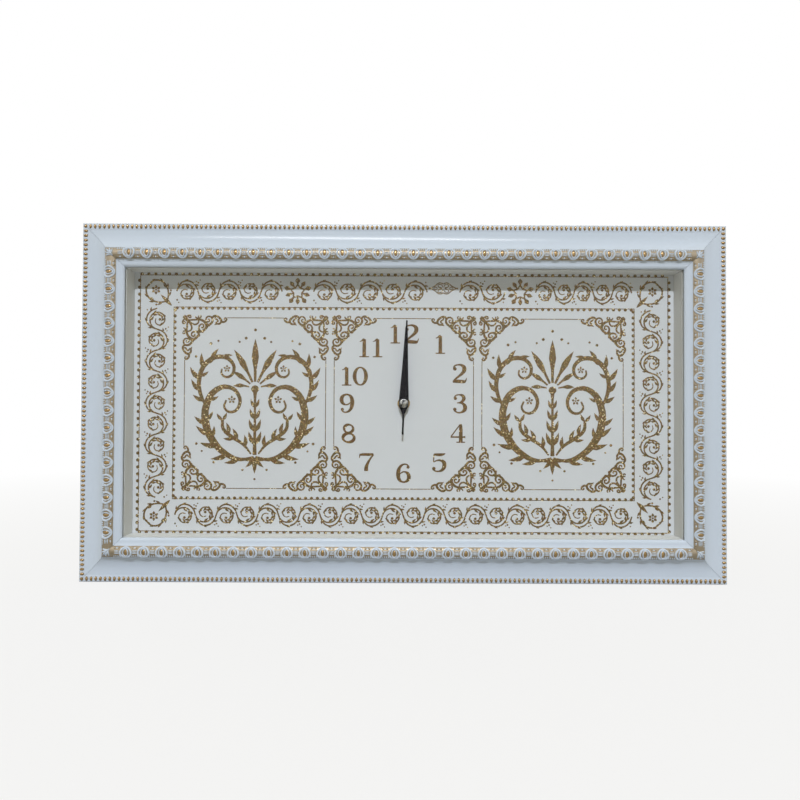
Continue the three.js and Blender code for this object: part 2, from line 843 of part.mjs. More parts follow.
function settingKnob() {
  const knobRear = caseRecess;
  return join(
    disc(knobAxis, knobRadius, knobRear, knobRear + knobThickness),
    disc(knobAxis, knobShaftRadius, knobRear, cannonLayer.rear + pinionThickness / 2),
    disc(knobAxis, arborRadius, knobRear, pivotFront),
    toothed(knobGear, cannonLayer),
  );
}

function secondStaff() {
  return join(
    disc(dialAxis, staffRadius, pivotRear, capRear + seatGap),
    toothed(secondPinion, thirdLayer),
    toothed(secondGear, secondLayer),
  );
}

function thirdWheel() {
  return join(
    arbor(thirdAxis),
    toothed(thirdGear, thirdLayer),
    toothed(thirdPinion, minuteLayer),
  );
}

function fifthWheel() {
  return join(
    arbor(fifthAxis),
    toothed(fifthPinion, secondLayer),
    toothed(fifthGear, fifthLayer),
  );
}

function rotor() {
  return join(
    arbor(rotorAxis),
    toothed(rotorPinion, fifthLayer),
    disc(rotorAxis, magnetRadius, magnetFront - magnetLength, magnetFront),
  );
}

// Motor: a stator plate round the magnet, closed by a core through the coil

function stator() {
  const { x, y } = rotorAxis;
  const coreTop = coilY + coreWidth / 2;
  const coreBottom = coilY - coreWidth / 2;
  const right = x + statorHalf;
  const left = coilLeft - limbWidth;
  const outline = polygon([
    [x - statorHalf, y - statorHalf],
    [right, y - statorHalf],
    [right, coreTop],
    [left, coreTop],
    [left, coilY - coilRadius],
    [x - statorHalf, y + statorHalf],
  ]);
  outline.holes.push(
    polygon([
      [coilLeft - seatGap, coreBottom],
      [coilRight + seatGap, coreBottom],
      [coilRight + seatGap, y + statorHalf + statorRim],
      [x - statorHalf / 2, y + statorHalf + statorRim],
      [coilLeft - seatGap, coilY - coilRadius - seatGap],
    ]),
  );
  const rear = motorZ - statorThickness / 2;
  const front = motorZ + statorThickness / 2;
  return cut(
    plate(outline, rear, front),
    disc(rotorAxis, statorHole, rear - overrun, front + overrun),
    ...statorPosts.map((place) =>
      disc(place, postPinRadius + runGap, rear - overrun, front + overrun),
    ),
  );
}

function coil() {
  const bore = Math.hypot(coreWidth, statorThickness) / 2 + runGap;
  const round = new THREE.CylinderGeometry(coilRadius, coilRadius, coilLength, 20);
  const hole = new THREE.CylinderGeometry(bore, bore, coilLength + 2 * overrun, 20);
  return cut(solid(round), solid(hole))
    .rotate([0, 0, 90])
    .translate([(coilLeft + coilRight) / 2, coilY, motorZ]);
}

// Circuit board with its chip, and the timing crystal behind it

function circuitBoard() {
  const rear = circuitFront - circuitThickness;
  const right = circuitLeft + circuitWidth;
  const chipAxis = new THREE.Vector2(right - 2 * chipRadius, circuitBottom + circuitHeight / 2);
  return cut(
    join(
      box(circuitLeft, right, circuitBottom, circuitBottom + circuitHeight, rear, circuitFront),
      disc(chipAxis, chipRadius, rear - chipHeight, rear + circuitThickness / 2),
    ),
    ...circuitPosts.map((place) =>
      disc(place, postPinRadius + runGap, rear - overrun, circuitFront + overrun),
    ),
  );
}

function crystal() {
  const can = new THREE.CylinderGeometry(crystalRadius, crystalRadius, crystalLength, 12);
  return solid(can).translate([
    circuitLeft + 2 * crystalRadius,
    circuitBottom + crystalLength / 2 + crystalRadius,
    circuitFront - circuitThickness - seatGap - crystalRadius,
  ]);
}

// Contact plates at the battery's ends, with tabs that reach over the circuit board

function contactPlate(side) {
  const outer = caseInner - seatGap;
  const inner = outer - contactThickness;
  const half = batteryRadius - 2 * contactThickness;
  const ends = [side * outer, side * inner].sort((a, b) => a - b);
  const tabRear = circuitFront + seatGap;
  return join(
    box(...ends, batteryY - half, batteryY + half, batteryZ - half, batteryZ + half),
    box(...ends, batteryY, circuitBottom + contactTabWidth, tabRear, tabRear + contactTabWidth),
  );
}

// The plus contact's strip runs along the partition to the circuit board
function contactPlus() {
  const outer = caseInner - seatGap;
  const tabRear = circuitFront + seatGap;
  const stripBottom = gearRoomBottom + seatGap;
  const landing = circuitLeft + circuitWidth - contactTabWidth;
  return join(
    contactPlate(1),
    box(landing, outer, stripBottom, stripBottom + contactThickness, tabRear, tabRear + contactTabWidth),
    box(
      landing - contactTabWidth,
      landing,
      stripBottom,
      circuitBottom + contactTabWidth,
      tabRear,
      tabRear + contactThickness,
    ),
    box(
      landing - contactTabWidth,
      landing + contactThickness,
      stripBottom,
      stripBottom + contactThickness,
      tabRear,
      tabRear + contactTabWidth,
    ),
  );
}

// The minus contact has a bowed spring that pushes the battery to the plus side
function contactMinus() {
  const outer = caseInner - seatGap;
  const inner = outer - contactThickness;
  const tabRear = circuitFront + seatGap;
  const half = batteryRadius / 2;
  const bow = polygon([
    [-inner - contactThickness / 2, half],
    [-inner - contactThickness / 2, -half],
    [-inner, -half],
    [-inner + contactSpringTravel, -half / 4],
    [-inner + contactSpringTravel, half / 4],
    [-inner, half],
  ]);
  const spring = plate(bow, batteryZ - half / 2, batteryZ + half / 2).translate([0, batteryY, 0]);
  return join(
    contactPlate(-1),
    spring,
    box(
      -outer,
      -outer + 2 * contactTabWidth,
      circuitBottom + contactTabWidth / 2,
      circuitBottom + contactTabWidth,
      tabRear,
      tabRear + contactThickness,
    ),
  );
}

function battery() {
  const body = new THREE.CylinderGeometry(
    batteryRadius,
    batteryRadius,
    batteryLength - batteryCapLength,
    24,
  );
  const cap = new THREE.CylinderGeometry(batteryCapRadius, batteryCapRadius, batteryLength, 16);
  return join(
    solid(body).translate([0, batteryCapLength / 2, 0]),
    solid(cap),
  )
    .rotate([0, 0, 90])
    .translate([batteryRight - batteryLength / 2, batteryY, batteryZ]);
}

// Boss fittings

function mountingNut() {
  const across = nutAcrossFlats / Math.cos(Math.PI / 6) / 2;
  const rear = canvasFront + 2 * seatGap + washerThickness;
  const hexagon = new THREE.CylinderGeometry(across, across, nutThickness, 6);
  return cut(
    solid(hexagon.rotateX(Math.PI / 2)).translate([0, 0, rear + nutThickness / 2]),
    disc(dialAxis, bossHole, rear - overrun, rear + nutThickness + overrun),
  );
}

function mountingWasher() {
  const rear = canvasFront + seatGap;
  return ring(dialAxis, washerRadius, bossHole, rear, rear + washerThickness);
}

// Hands

// A blade that tapers from its shoulder to the tip, with a pointed tail under the hub
function bladeOutline(length, halfWidth, endShare) {
  const tailShoulder = handTail / 4;
  const tipStart = length - halfWidth;
  const tipHalfWidth = endShare * halfWidth;
  return polygon([
    [0, -handTail],
    [halfWidth, -tailShoulder],
    [halfWidth, handShoulder],
    [tipHalfWidth, tipStart],
    [0, length],
    [-tipHalfWidth, tipStart],
    [-halfWidth, handShoulder],
    [-halfWidth, -tailShoulder],
  ]);
}

function hand(outline, bore, rear, front) {
  return cut(
    join(plate(outline, rear, front), disc(dialAxis, handHubRadius, rear, front)),
    disc(dialAxis, bore, rear - overrun, front + overrun),
  ).rotate([0, 0, handLean]);
}

function hourHand() {
  const outline = bladeOutline(hourHandLength, hourHandHalfWidth, hourTipShare);
  return hand(outline, hourTubeRadius + seatGap, hourHandRear, hourHandFront);
}

function minuteHand() {
  const outline = bladeOutline(minuteHandLength, minuteHandHalfWidth, minuteTipShare);
  return hand(outline, minuteTubeRadius + seatGap, minuteHandRear, minuteHandFront);
}

function secondHand() {
  const needle = polygon([
    [-secondHandHalfWidth, -secondHandTail],
    [secondHandHalfWidth, -secondHandTail],
    [secondHandHalfWidth, 0],
    [secondHandTipHalfWidth, handShoulder],
    [secondHandTipHalfWidth, secondHandLength],
    [-secondHandTipHalfWidth, secondHandLength],
    [-secondHandTipHalfWidth, handShoulder],
    [-secondHandHalfWidth, 0],
  ]);
  const hubRear = minuteNutFront + seatGap;
  return cut(
    join(
      plate(needle, secondHandRear, secondHandFront),
      disc(dialAxis, secondHubRadius, hubRear, secondHandFront),
    ),
    disc(dialAxis, staffRadius + seatGap, hubRear - overrun, secondHandFront + overrun),
  ).rotate([0, 0, handLean]);
}

function minuteNut() {
  return ring(dialAxis, minuteNutRadius, minuteTubeRadius + seatGap, minuteNutRear, minuteNutFront);
}

// A domed cap over the end of the staff
function secondCap() {
  const rise = 4;
  const profile = [new THREE.Vector2(0, 0), new THREE.Vector2(capRadius, 0)];
  for (let i = 0; i <= rise; i++) {
    const angle = (i / rise) * (Math.PI / 2);
    profile.push(
      new THREE.Vector2(capRadius * Math.cos(angle), (capHeight / 3) * (1 + 2 * Math.sin(angle))),
    );
  }
  profile[profile.length - 1].x = 0;
  const dome = new THREE.LatheGeometry(profile, 20).rotateX(Math.PI / 2);
  return cut(
    solid(dome).translate([0, 0, capRear]),
    disc(dialAxis, staffRadius + seatGap, capRear - overrun, capRear + 2 * seatGap),
  );
}

// The whole clock

function framePieces() {
  const pieces = [];
  for (const side of sides) {
    pieces.push(mesh("frame_rail_" + side.name, frameRail(side), frameWhite));
    pieces.push(mesh("spacer_" + side.name, spacer(side), boxWhite));
    pointPlaces(side).forEach((x, i) =>
      pieces.push(mesh("glazing_point_" + side.name + "_" + (i + 1), glazingPoint(x, side), steel)),
    );
  }
  for (const corner of corners)
    pieces.push(mesh("corner_nail_" + corner.name, cornerNail(corner, 0, seatGap), steel));
  for (const [name, x] of Object.entries(hangerPlaces))
    pieces.push(mesh("hanger_" + name, hanger(x), steel));
  hangerNailPlaces.forEach((place, i) =>
    pieces.push(mesh("hanger_nail_" + (i + 1), hangerNail(place), steel)),
  );
  pieces.push(mesh("glass_pane", sheet(glassRear, glassFront), clearGlass));
  pieces.push(mesh("canvas_print", pierced(canvasRear, canvasFront), canvasWhite));
  pieces.push(mesh("backing_board", pierced(boardRear, boardFront), hardboard));
  return pieces;
}

function movementPieces() {
  return [
    mesh("movement_case", movementCase(), blackPlastic),
    mesh("movement_back", movementBack(), blackPlastic),
    mesh("gasket", ring(dialAxis, gasketRadius, bossHole, gasketRear, gasketFront), rubber),
    mesh("mounting_washer", mountingWasher(), brass),
    mesh("mounting_nut", mountingNut(), brass),
    mesh("hour_wheel", hourWheel(), gearWhite),
    mesh("minute_shaft", minuteShaft(), gearWhite),
    mesh("minute_wheel", minuteWheel(), gearWhite),
    mesh("minute_work_wheel", minuteWorkWheel(), gearWhite),
    mesh("setting_knob", settingKnob(), gearWhite),
    mesh("second_staff", secondStaff(), steel),
    mesh("third_wheel", thirdWheel(), gearWhite),
    mesh("fifth_wheel", fifthWheel(), gearWhite),
    mesh("rotor", rotor(), gearWhite),
    mesh("stator", stator(), steel),
    mesh("coil", coil(), copper),
    mesh("circuit_board", circuitBoard(), circuitGreen),
    mesh("timing_crystal", crystal(), steel),
    mesh("contact_plus", contactPlus(), steel),
    mesh("contact_minus", contactMinus(), steel),
    mesh("battery", battery(), batteryGrey),
  ];
}

function handPieces() {
  return [
    mesh("hour_hand", hourHand(), handBlack),
    mesh("minute_hand", minuteHand(), handBlack),
    mesh("minute_nut", minuteNut(), chrome),
    mesh("second_hand", secondHand(), handBlack),
    mesh("second_hand_cap", secondCap(), chrome),
  ];
}

const clock = new THREE.Group();
const face = new THREE.Group();
face.add(...framePieces(), ...movementPieces(), ...handPieces());
face.rotation.x = Math.PI / 2;
face.position.z = outerLeg / 2 - frameHeight / 2;
clock.add(face);

export default clock;
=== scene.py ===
import json
import math

import bpy
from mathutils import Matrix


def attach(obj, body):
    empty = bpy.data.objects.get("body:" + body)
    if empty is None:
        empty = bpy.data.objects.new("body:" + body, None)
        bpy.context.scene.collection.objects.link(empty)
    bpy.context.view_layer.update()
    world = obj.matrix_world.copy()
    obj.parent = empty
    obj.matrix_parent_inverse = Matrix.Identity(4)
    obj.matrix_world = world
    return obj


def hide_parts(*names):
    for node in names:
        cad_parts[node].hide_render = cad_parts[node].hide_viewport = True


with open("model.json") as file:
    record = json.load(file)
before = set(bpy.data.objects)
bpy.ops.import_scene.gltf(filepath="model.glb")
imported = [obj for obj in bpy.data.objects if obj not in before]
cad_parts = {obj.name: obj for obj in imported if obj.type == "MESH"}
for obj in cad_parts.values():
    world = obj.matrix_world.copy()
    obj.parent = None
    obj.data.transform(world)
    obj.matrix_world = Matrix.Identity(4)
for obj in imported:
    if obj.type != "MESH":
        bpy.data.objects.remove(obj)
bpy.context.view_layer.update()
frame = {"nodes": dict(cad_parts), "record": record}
print("frame loaded,", len(frame["nodes"]), "nodes")

# Pieces are modelled in millimetres, seen from the front: x right, y up, z towards the viewer,
# from the middle of the dial on the wall plane. hang() then puts them in their place.
mm = 0.001
dialHeight = -182 * mm


# Handling

def chooseOnly(piece):
    bpy.ops.object.select_all(action="DESELECT")
    piece.select_set(True)
    bpy.context.view_layer.objects.active = piece


def added(operator, **settings):
    bpy.ops.object.select_all(action="DESELECT")
    operator(**settings)
    return bpy.context.object


def settle(piece):  # its place, turn and size go into its mesh
    chooseOnly(piece)
    bpy.ops.object.transform_apply(location=True, rotation=True, scale=True)
    return piece


def laid(piece, place=(0, 0, 0), turn=0.0, size=(1, 1, 1)):
    piece.scale = size
    piece.rotation_euler = (0, 0, math.radians(turn))
    piece.location = place
    return settle(piece)


def finishWith(piece, kind, **settings):
    chooseOnly(piece)
    bpy.ops.object.modifier_add(type=kind)
    modifier = piece.modifiers[-1]
    for key, value in settings.items():
        setattr(modifier, key, value)
    bpy.ops.object.modifier_apply(modifier=modifier.name)
    return piece


def row(piece, count, pitch):
    return finishWith(piece, "ARRAY", count=count, use_relative_offset=False, use_constant_offset=True,
                      constant_offset_displace=(pitch, 0, 0))


def bevelled(piece, width, segments, angle):
    return finishWith(piece, "BEVEL", width=width, segments=segments, limit_method="ANGLE",
                      angle_limit=math.radians(angle))


def editAll(piece):
    chooseOnly(piece)
    bpy.ops.object.mode_set(mode="EDIT")
    bpy.ops.mesh.select_mode(type="VERT")
    bpy.ops.mesh.select_all(action="SELECT")


def doneEditing():
    bpy.ops.object.mode_set(mode="OBJECT")


def editWhere(piece, wanted, kind="FACE"):  # faces by their normal, or vertices by their place
    editAll(piece)
    bpy.ops.mesh.select_all(action="DESELECT")
    bpy.ops.mesh.select_mode(type=kind)
    doneEditing()
    for item in piece.data.polygons if kind == "FACE" else piece.data.vertices:
        item.select = wanted(item.normal if kind == "FACE" else item.co)
    bpy.ops.object.mode_set(mode="EDIT")


def resizeWhere(piece, wanted, size, **extra):
    editWhere(piece, wanted, "VERT")
    bpy.ops.transform.resize(value=size, **extra)
    doneEditing()


def cutOff(piece, place, normal, **extra):  # takes off what lies beyond a plane, and closes the cut
    editAll(piece)
    bpy.ops.mesh.bisect(plane_co=place, plane_no=normal, use_fill=True, clear_outer=True, **extra)
    doneEditing()


def facedOutwards(piece):
    editAll(piece)
    bpy.ops.mesh.normals_make_consistent(inside=False)
    doneEditing()
    return piece


def joined(name, pieces):
    chooseOnly(pieces[0])
    for piece in pieces[1:]:
        piece.select_set(True)
    if len(pieces) > 1:
        bpy.ops.object.join()
    made = pieces[0]
    made.name = made.data.name = name
    return made


def copyOf(piece, name, place=(0, 0, 0), turn=0.0):
    chooseOnly(piece)
    bpy.ops.object.duplicate(linked=False)
    made = bpy.context.object
    made.name = made.data.name = name
    return laid(made, place, turn)


def polar(radius, angle, x=0.0, y=0.0):
    return x + radius * math.cos(math.radians(angle)), y + radius * math.sin(math.radians(angle))


def hang(piece, body, slot, *nodes, smooth=32, paint=None):  # paint is for a finish other than the slot's
    piece.scale = (mm, mm, mm)
    piece.rotation_euler = (math.radians(90), 0, 0)
    piece.location = (0, 0, dialHeight)
    settle(piece)
    bpy.ops.object.shade_smooth_by_angle(angle=math.radians(smooth))
    piece.data.materials.clear()
    piece.data.materials.append(paints[paint or slot])
    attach(piece, body)
    if nodes:
        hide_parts(*nodes)


# Paints

class Wire:  # a shader value that takes part in sums
    def __init__(self, paint, socket):
        self.paint = paint
        self.socket = socket

    def __add__(self, other):
        return self.paint.sum("ADD", self, other)

    def __mul__(self, other):
        return self.paint.sum("MULTIPLY", self, other)

    def __sub__(self, other):
        return self.paint.sum("SUBTRACT", self, other)

    def __rsub__(self, other):
        return self.paint.sum("SUBTRACT", other, self)

    __radd__, __rmul__ = __add__, __mul__


class Paint:
    def __init__(self, name, tree=None):
        if tree is None:
            self.material = bpy.data.materials.new(name)
            self.material.use_nodes = True
            tree = self.material.node_tree
        self.tree = tree
        tree.nodes.clear()

    def node(self, kind, settings=None, sockets=None, out=0):
        made = self.tree.nodes.new("ShaderNode" + kind)
        for key, value in (settings or {}).items():
            setattr(made, key, value)
        pairs = sockets.items() if isinstance(sockets, dict) else enumerate(sockets or [])
        for key, value in pairs:
            socket = made.inputs[key.replace("_", " ") if isinstance(key, str) else key]
            if isinstance(value, Wire):
                self.tree.links.new(value.socket, socket)
            else:
                socket.default_value = (*value, 1) if socket.type == "RGBA" else value
        return Wire(self, made.outputs[out]) if made.outputs else None

    def sum(self, operation, first, second):
        return self.node("Math", {"operation": operation}, [first, second])

    def place(self, scale=(1, 1, 1)):
        spot = self.node("TexCoord", out="Object")
        return self.node("Mapping", sockets={"Vector": spot, "Scale": scale})

    def parts(self, vector, axis):
        return self.node("SeparateXYZ", sockets=[vector], out=axis)

    def pattern(self, kind, out, scale, stretch=(1, 1, 1), settings=None, **sockets):
        sockets = {"Vector": self.place(stretch), "Scale": scale, **sockets}
        return self.node("Tex" + kind, settings, sockets, out)

    def noise(self, scale, detail, stretch=(1, 1, 1)):
        return self.pattern("Noise", "Fac", scale, stretch, Detail=detail)

    def ranged(self, value, newLow=0.0, newHigh=1.0, low=0.3, high=0.7):  # noise is mostly 0.3 to 0.7
        sockets = {"Value": value, "From_Min": low, "From_Max": high, "To_Min": newLow, "To_Max": newHigh}
        return self.node("MapRange", sockets=sockets)

    def mixed(self, share, first, second):
        return self.node("Mix", {"data_type": "RGBA"}, {0: share, 6: first, 7: second}, 2)

    def bump(self, height, distance, strength):
        return self.node("Bump", sockets={"Height": height, "Distance": distance, "Strength": strength})

    def surface(self, **sockets):
        return self.finish(self.node("BsdfPrincipled", sockets=sockets))

    def finish(self, shader):
        self.node("OutputMaterial", sockets=[shader])
        return self.material


def frameWhitePaint():  # glossy moulded polystyrene, faintly cool
    paint = Paint("frameWhite")
    return paint.surface(
        Base_Color=paint.mixed(paint.noise(5, 2), (0.56, 0.63, 0.735), (0.58, 0.65, 0.76)),
        Roughness=paint.ranged(paint.noise(300, 2), 0.18, 0.22),
        Specular_IOR_Level=0.3,
        Normal=paint.bump(paint.noise(40, 1, (0.15, 1, 1)), 0.0003, 0.25),
    )


def giltPaint(name, worn, bright, roughness):  # gold foil, rubbed thin in spots
    paint = Paint(name)
    rub = paint.noise(700, 3)
    return paint.surface(
        Base_Color=paint.mixed(paint.ranged(rub), worn, bright),
        Metallic=0.7,
        Roughness=roughness,
        Coat_Weight=0.8,
        Coat_Roughness=0.2,
        Normal=paint.bump(rub, 0.00006, 0.35),
    )


def boxWhitePaint():  # satin card over foam
    paint = Paint("boxWhite")
    return paint.surface(
        Base_Color=paint.mixed(paint.noise(9, 2), (0.715, 0.725, 0.72), (0.765, 0.775, 0.765)),
        Roughness=0.55,
        Normal=paint.bump(paint.noise(420, 3), 0.0001, 0.4),
    )


def canvasPaint():  # primed canvas, a plain weave of fine threads
    paint = Paint("canvas")
    thread = 0.00062
    scale = 0.314 / thread  # a wave's bands lie 0.314 / scale apart
    weave = paint.sum("MAXIMUM", *[
        paint.pattern("Wave", "Fac", scale, (1, 1, 1), {"bands_direction": way}, Distortion=0.6, Detail=1.0,
                      Detail_Scale=2.0) for way in ("X", "Z")])
    tone = paint.mixed(paint.noise(120, 4), (0.63, 0.655, 0.695), (0.665, 0.69, 0.73))
    colour = paint.mixed(weave * 0.1, tone, (0.77, 0.80, 0.83))
    return paint.surface(Base_Color=colour, Roughness=0.72, Normal=paint.bump(weave, 0.00006, 0.35))


def glitterPaint(name, dark, bright, share, glints):  # gold flakes in a clear ink; a few spots are painted glints, pale gold and barely metallic
    paint = Paint(name)
    flakes = paint.pattern("Voronoi", "Color", 1350.0, (1, 0, 1))
    large = paint.pattern("Voronoi", "Color", 880.0, (1, 0, 1))
    tilt = paint.parts(flakes, "Y")
    spark = paint.ranged(paint.parts(flakes, "X"), low=1 - share, high=1)
    # painted glints: sparse spots of pale bright gold with the metal mostly taken out, standing in for
    # flakes that catch the light
    glint = paint.ranged(paint.parts(large, "X"), low=1 - glints, high=1 - 0.4 * glints)
    red, green, blue = dark
    ruddy, olive = (1.5 * red, 1.1 * green, blue), (1.05 * red, 1.35 * green, blue)
    base = paint.mixed(paint.parts(large, "Z"), ruddy, olive)
    return paint.surface(
        Base_Color=paint.mixed(glint, paint.mixed(spark, base, bright), (1.0, 0.86, 0.52)),
        Metallic=paint.ranged(spark, 0.35, 0.9, 0, 1) * (1 - 0.8 * glint),
        Roughness=paint.ranged(tilt, 0.3, 0.55, 0, 1),
        Normal=paint.bump(tilt, 0.0003, 0.6),
    )


def hardboardPaint():  # pressed fibres, the screen's print on the back
    paint = Paint("hardboard")
    fibres = paint.noise(240, 6, (1, 1, 0.35))
    mesh = paint.pattern("Voronoi", "Distance", 520.0, (1, 0, 1), {"distance": "CHEBYCHEV"}, Randomness=0.15)
    return paint.surface(
        Base_Color=paint.mixed(fibres, (0.14, 0.085, 0.045), (0.33, 0.21, 0.12)),
        Roughness=0.82,
        Normal=paint.bump(mesh + fibres * 0.6, 0.0002, 0.6),
    )


def glassPaint():  # clear float glass, thinly coated against glare
    paint = Paint("glass")
    clear = paint.node("BsdfTransparent", sockets=[(0.985, 0.987, 0.985)])
    gloss = paint.node("BsdfGlossy", sockets={"Color": (1, 1, 1), "Roughness": 0.02})
    slant = paint.node("LayerWeight", sockets={"Blend": 0.5}, out="Facing")
    edge = slant * slant * slant * slant * 0.7 + 0.007
    return paint.finish(paint.node("MixShader", sockets=[edge, clear, gloss]))


def steelPaint():  # zinc-plated, with a faint spangle
    paint = Paint("steel")
    spangle = paint.pattern("Voronoi", "Distance", 420.0)
    wearAndReflection = paint.noise(900, 3)
    return paint.surface(
        Base_Color=paint.mixed(spangle, (0.62, 0.64, 0.67), (0.50, 0.52, 0.55)),
        Metallic=1.0,
        Roughness=paint.ranged(wearAndReflection, 0.25, 0.42),
        Normal=paint.bump(wearAndReflection, 0.00003, 0.4),
    )


def chromePaint():  # polished; its base colour is darkened in vertical streaks, a painted dark reflection
    paint = Paint("chrome")
    # painted reflection: the base colour runs from near black to grey in vertical streaks, standing in for
    # dark things mirrored in the dome
    wearAndReflection = paint.ranged(paint.noise(330, 1, (1, 1, 0.35)), low=0.4, high=0.6)
    return paint.surface(
        Base_Color=paint.mixed(wearAndReflection, (0.09, 0.092, 0.10), (0.46, 0.455, 0.43)),
        Metallic=1.0,
        Roughness=paint.ranged(paint.noise(800, 2), 0.05, 0.1),
    )


def copperPaint():  # enamelled wire, wound across the core
    paint = Paint("copper")
    turns = paint.pattern("Wave", "Fac", 1600.0, settings={"bands_direction": "X"})
    return paint.surface(
        Base_Color=paint.mixed(turns, (0.28, 0.10, 0.04), (0.72, 0.33, 0.15)),
        Metallic=0.9,
        Roughness=0.32,
        Normal=paint.bump(turns, 0.0001, 0.8),
    )


def grainedPaint(name, dark, light, rough, patch=60.0, grain=1800.0, relief=(0.00004, 0.6), **extra):
    paint = Paint(name)
    fine = paint.noise(grain, 2)
    return paint.surface(
        Base_Color=paint.mixed(paint.noise(patch, 2), dark, light),
        Roughness=paint.ranged(fine, *rough),
        Normal=paint.bump(fine, *relief),
        **extra,
    )


def circuitPaint():  # green laminate with pale tracks
    paint = Paint("circuit")
    laminate, other, track = (0.012, 0.10, 0.04), (0.016, 0.13, 0.05), (0.05, 0.26, 0.11)
    tracks = paint.pattern("Brick", "Color", 420.0, (1, 0, 1), Color1=laminate, Color2=other, Mortar=track,
                           Mortar_Size=0.03)
    return paint.surface(Base_Color=tracks, Roughness=0.38, Coat_Weight=0.4)


def batteryPaint():  # plain sleeve, bare of marks, with a coppery end
    paint = Paint("batteryWrap")
    end = paint.sum("GREATER_THAN", paint.parts(paint.place(), "X"), 0.0125)
    grime = paint.noise(300, 3)
    sleeve = paint.mixed(grime, (0.055, 0.06, 0.07), (0.085, 0.09, 0.10))
    return paint.surface(
        Base_Color=paint.mixed(end, sleeve, (0.50, 0.27, 0.11)),
        Metallic=0.6,
        Roughness=paint.ranged(grime, 0.25, 0.36),
    )


paints = {
    "frame_white": frameWhitePaint(),
    "gilt": giltPaint("gilt", (0.325, 0.262, 0.18), (0.355, 0.295, 0.205), 0.42),
    "giltDrop": giltPaint("gilt_drop", (0.31, 0.20, 0.09), (0.41, 0.26, 0.09), 0.22),
    "box_white": boxWhitePaint(),
    "canvas": canvasPaint(),
    "gold_glitter": glitterPaint("goldGlitter", (0.125, 0.083, 0.042), (0.70, 0.50, 0.18), 0.15, 0.045),
    "numeral_gold": glitterPaint("numeralGold", (0.115, 0.07, 0.034), (0.60, 0.40, 0.14), 0.12, 0.01),
    "hardboard": hardboardPaint(),
    "glass": glassPaint(),
    "steel": steelPaint(),
    "brass": grainedPaint("brass", (0.30, 0.205, 0.085), (0.40, 0.275, 0.12), (0.2, 0.32), 500.0, 1500.0,
                          (0.00002, 0.4), Metallic=1.0),
    "chrome": chromePaint(),
    "copper": copperPaint(),
    "black_plastic": grainedPaint("blackPlastic", (0.012, 0.012, 0.013), (0.02, 0.02, 0.022), (0.39, 0.53)),
    "hand_black": grainedPaint("handBlack", (0.006, 0.005, 0.007), (0.010, 0.009, 0.012), (0.44, 0.58),
                               grain=2600.0, Specular_IOR_Level=0.06),
    "gear_plastic": grainedPaint("gearPlastic", (0.70, 0.68, 0.60), (0.76, 0.74, 0.67), (0.36, 0.5)),
    "rubber": grainedPaint("rubber", (0.02, 0.02, 0.02), (0.03, 0.03, 0.03), (0.74, 0.88), grain=900.0),
    "circuit": circuitPaint(),
    "battery_wrap": batteryPaint(),
}
for part in frame["record"]["subparts"]:
    node = frame["nodes"][part["node"]]
    for slot in node.material_slots:
        slot.material = paints[part["material_slot"]]
print("paints mixed,", len(paints))


# Camera, light and floor, in metres and degrees

view = {"place": (-0.00395, -0.6785, -0.1942), "lens": 27.36, "roll": -0.26, "pitch": 0.8, "shift": 0.0078}
light = {"angle": 51.5, "spread": 1.8, "strength": 2.15, "colour": (0.90, 0.94, 1.0)}
softBox = {"height": 41.1, "across": -0.16, "away": 2.2, "size": (1.5, 0.2), "lean": 12, "power": 21}
room = {"light": (1.0, 0.92, 0.64), "ahead": 0.18, "around": 0.57}  # ahead and around are strengths
ground = {"height": -0.3714, "size": 12, "colour": 0.52, "glow": 0.8, "white": (0.4, 1.6)}  # white from, to


def setCamera():
    turn = (math.radians(90 + view["pitch"]), math.radians(view["roll"]), 0)
    made = added(bpy.ops.object.camera_add, location=view["place"], rotation=turn)
    made.data.lens = view["lens"]
    made.data.shift_y = view["shift"]
    made.data.sensor_width = 36
    made.data.clip_start = 0.01
    bpy.context.scene.camera = made


def setLight():
    lamp = added(bpy.ops.object.light_add, type="SUN", rotation=(math.radians(light["angle"]), 0, 0))
    lamp.data.energy = light["strength"]
    lamp.data.angle = math.radians(light["spread"])
    lamp.data.color = light["colour"]
    lamp.visible_glossy = False
    rise = math.radians(softBox["height"])
    away, up = polar(softBox["away"], softBox["height"])
    lamp = added(bpy.ops.object.light_add, type="AREA", location=(softBox["across"], -away, dialHeight + up))
    lamp.rotation_mode = "ZYX"
    lamp.rotation_euler = (math.radians(90) - rise, 0, math.radians(softBox["lean"]))
    lamp.data.shape = "ELLIPSE"
    lamp.data.size, lamp.data.size_y = softBox["size"]
    lamp.data.energy = softBox["power"]
    lamp.visible_diffuse = False  # it only gleams on glossy faces


def setWorld():
    world = bpy.data.worlds.new("studio")
    bpy.context.scene.world = world
    world.use_nodes = True
    paint = Paint("studio", world.node_tree)
    camera, glossy, through = [
        paint.node("LightPath", out=f"Is {ray} Ray") for ray in ("Camera", "Glossy", "Transmission")]
    seen = paint.sum("MAXIMUM", paint.sum("MAXIMUM", camera, glossy), through)
    depth = paint.parts(paint.node("TexCoord", out="Generated"), "Y")
    level = paint.ranged(depth, room["ahead"], room["around"], -1.0, -0.3)
    lamp = paint.node("Background", sockets={"Color": room["light"], "Strength": level})
    white = paint.node("Background", sockets={"Color": (1, 1, 1), "Strength": 1.0})
    paint.node("OutputWorld", sockets=[paint.node("MixShader", sockets=[seen, lamp, white])])


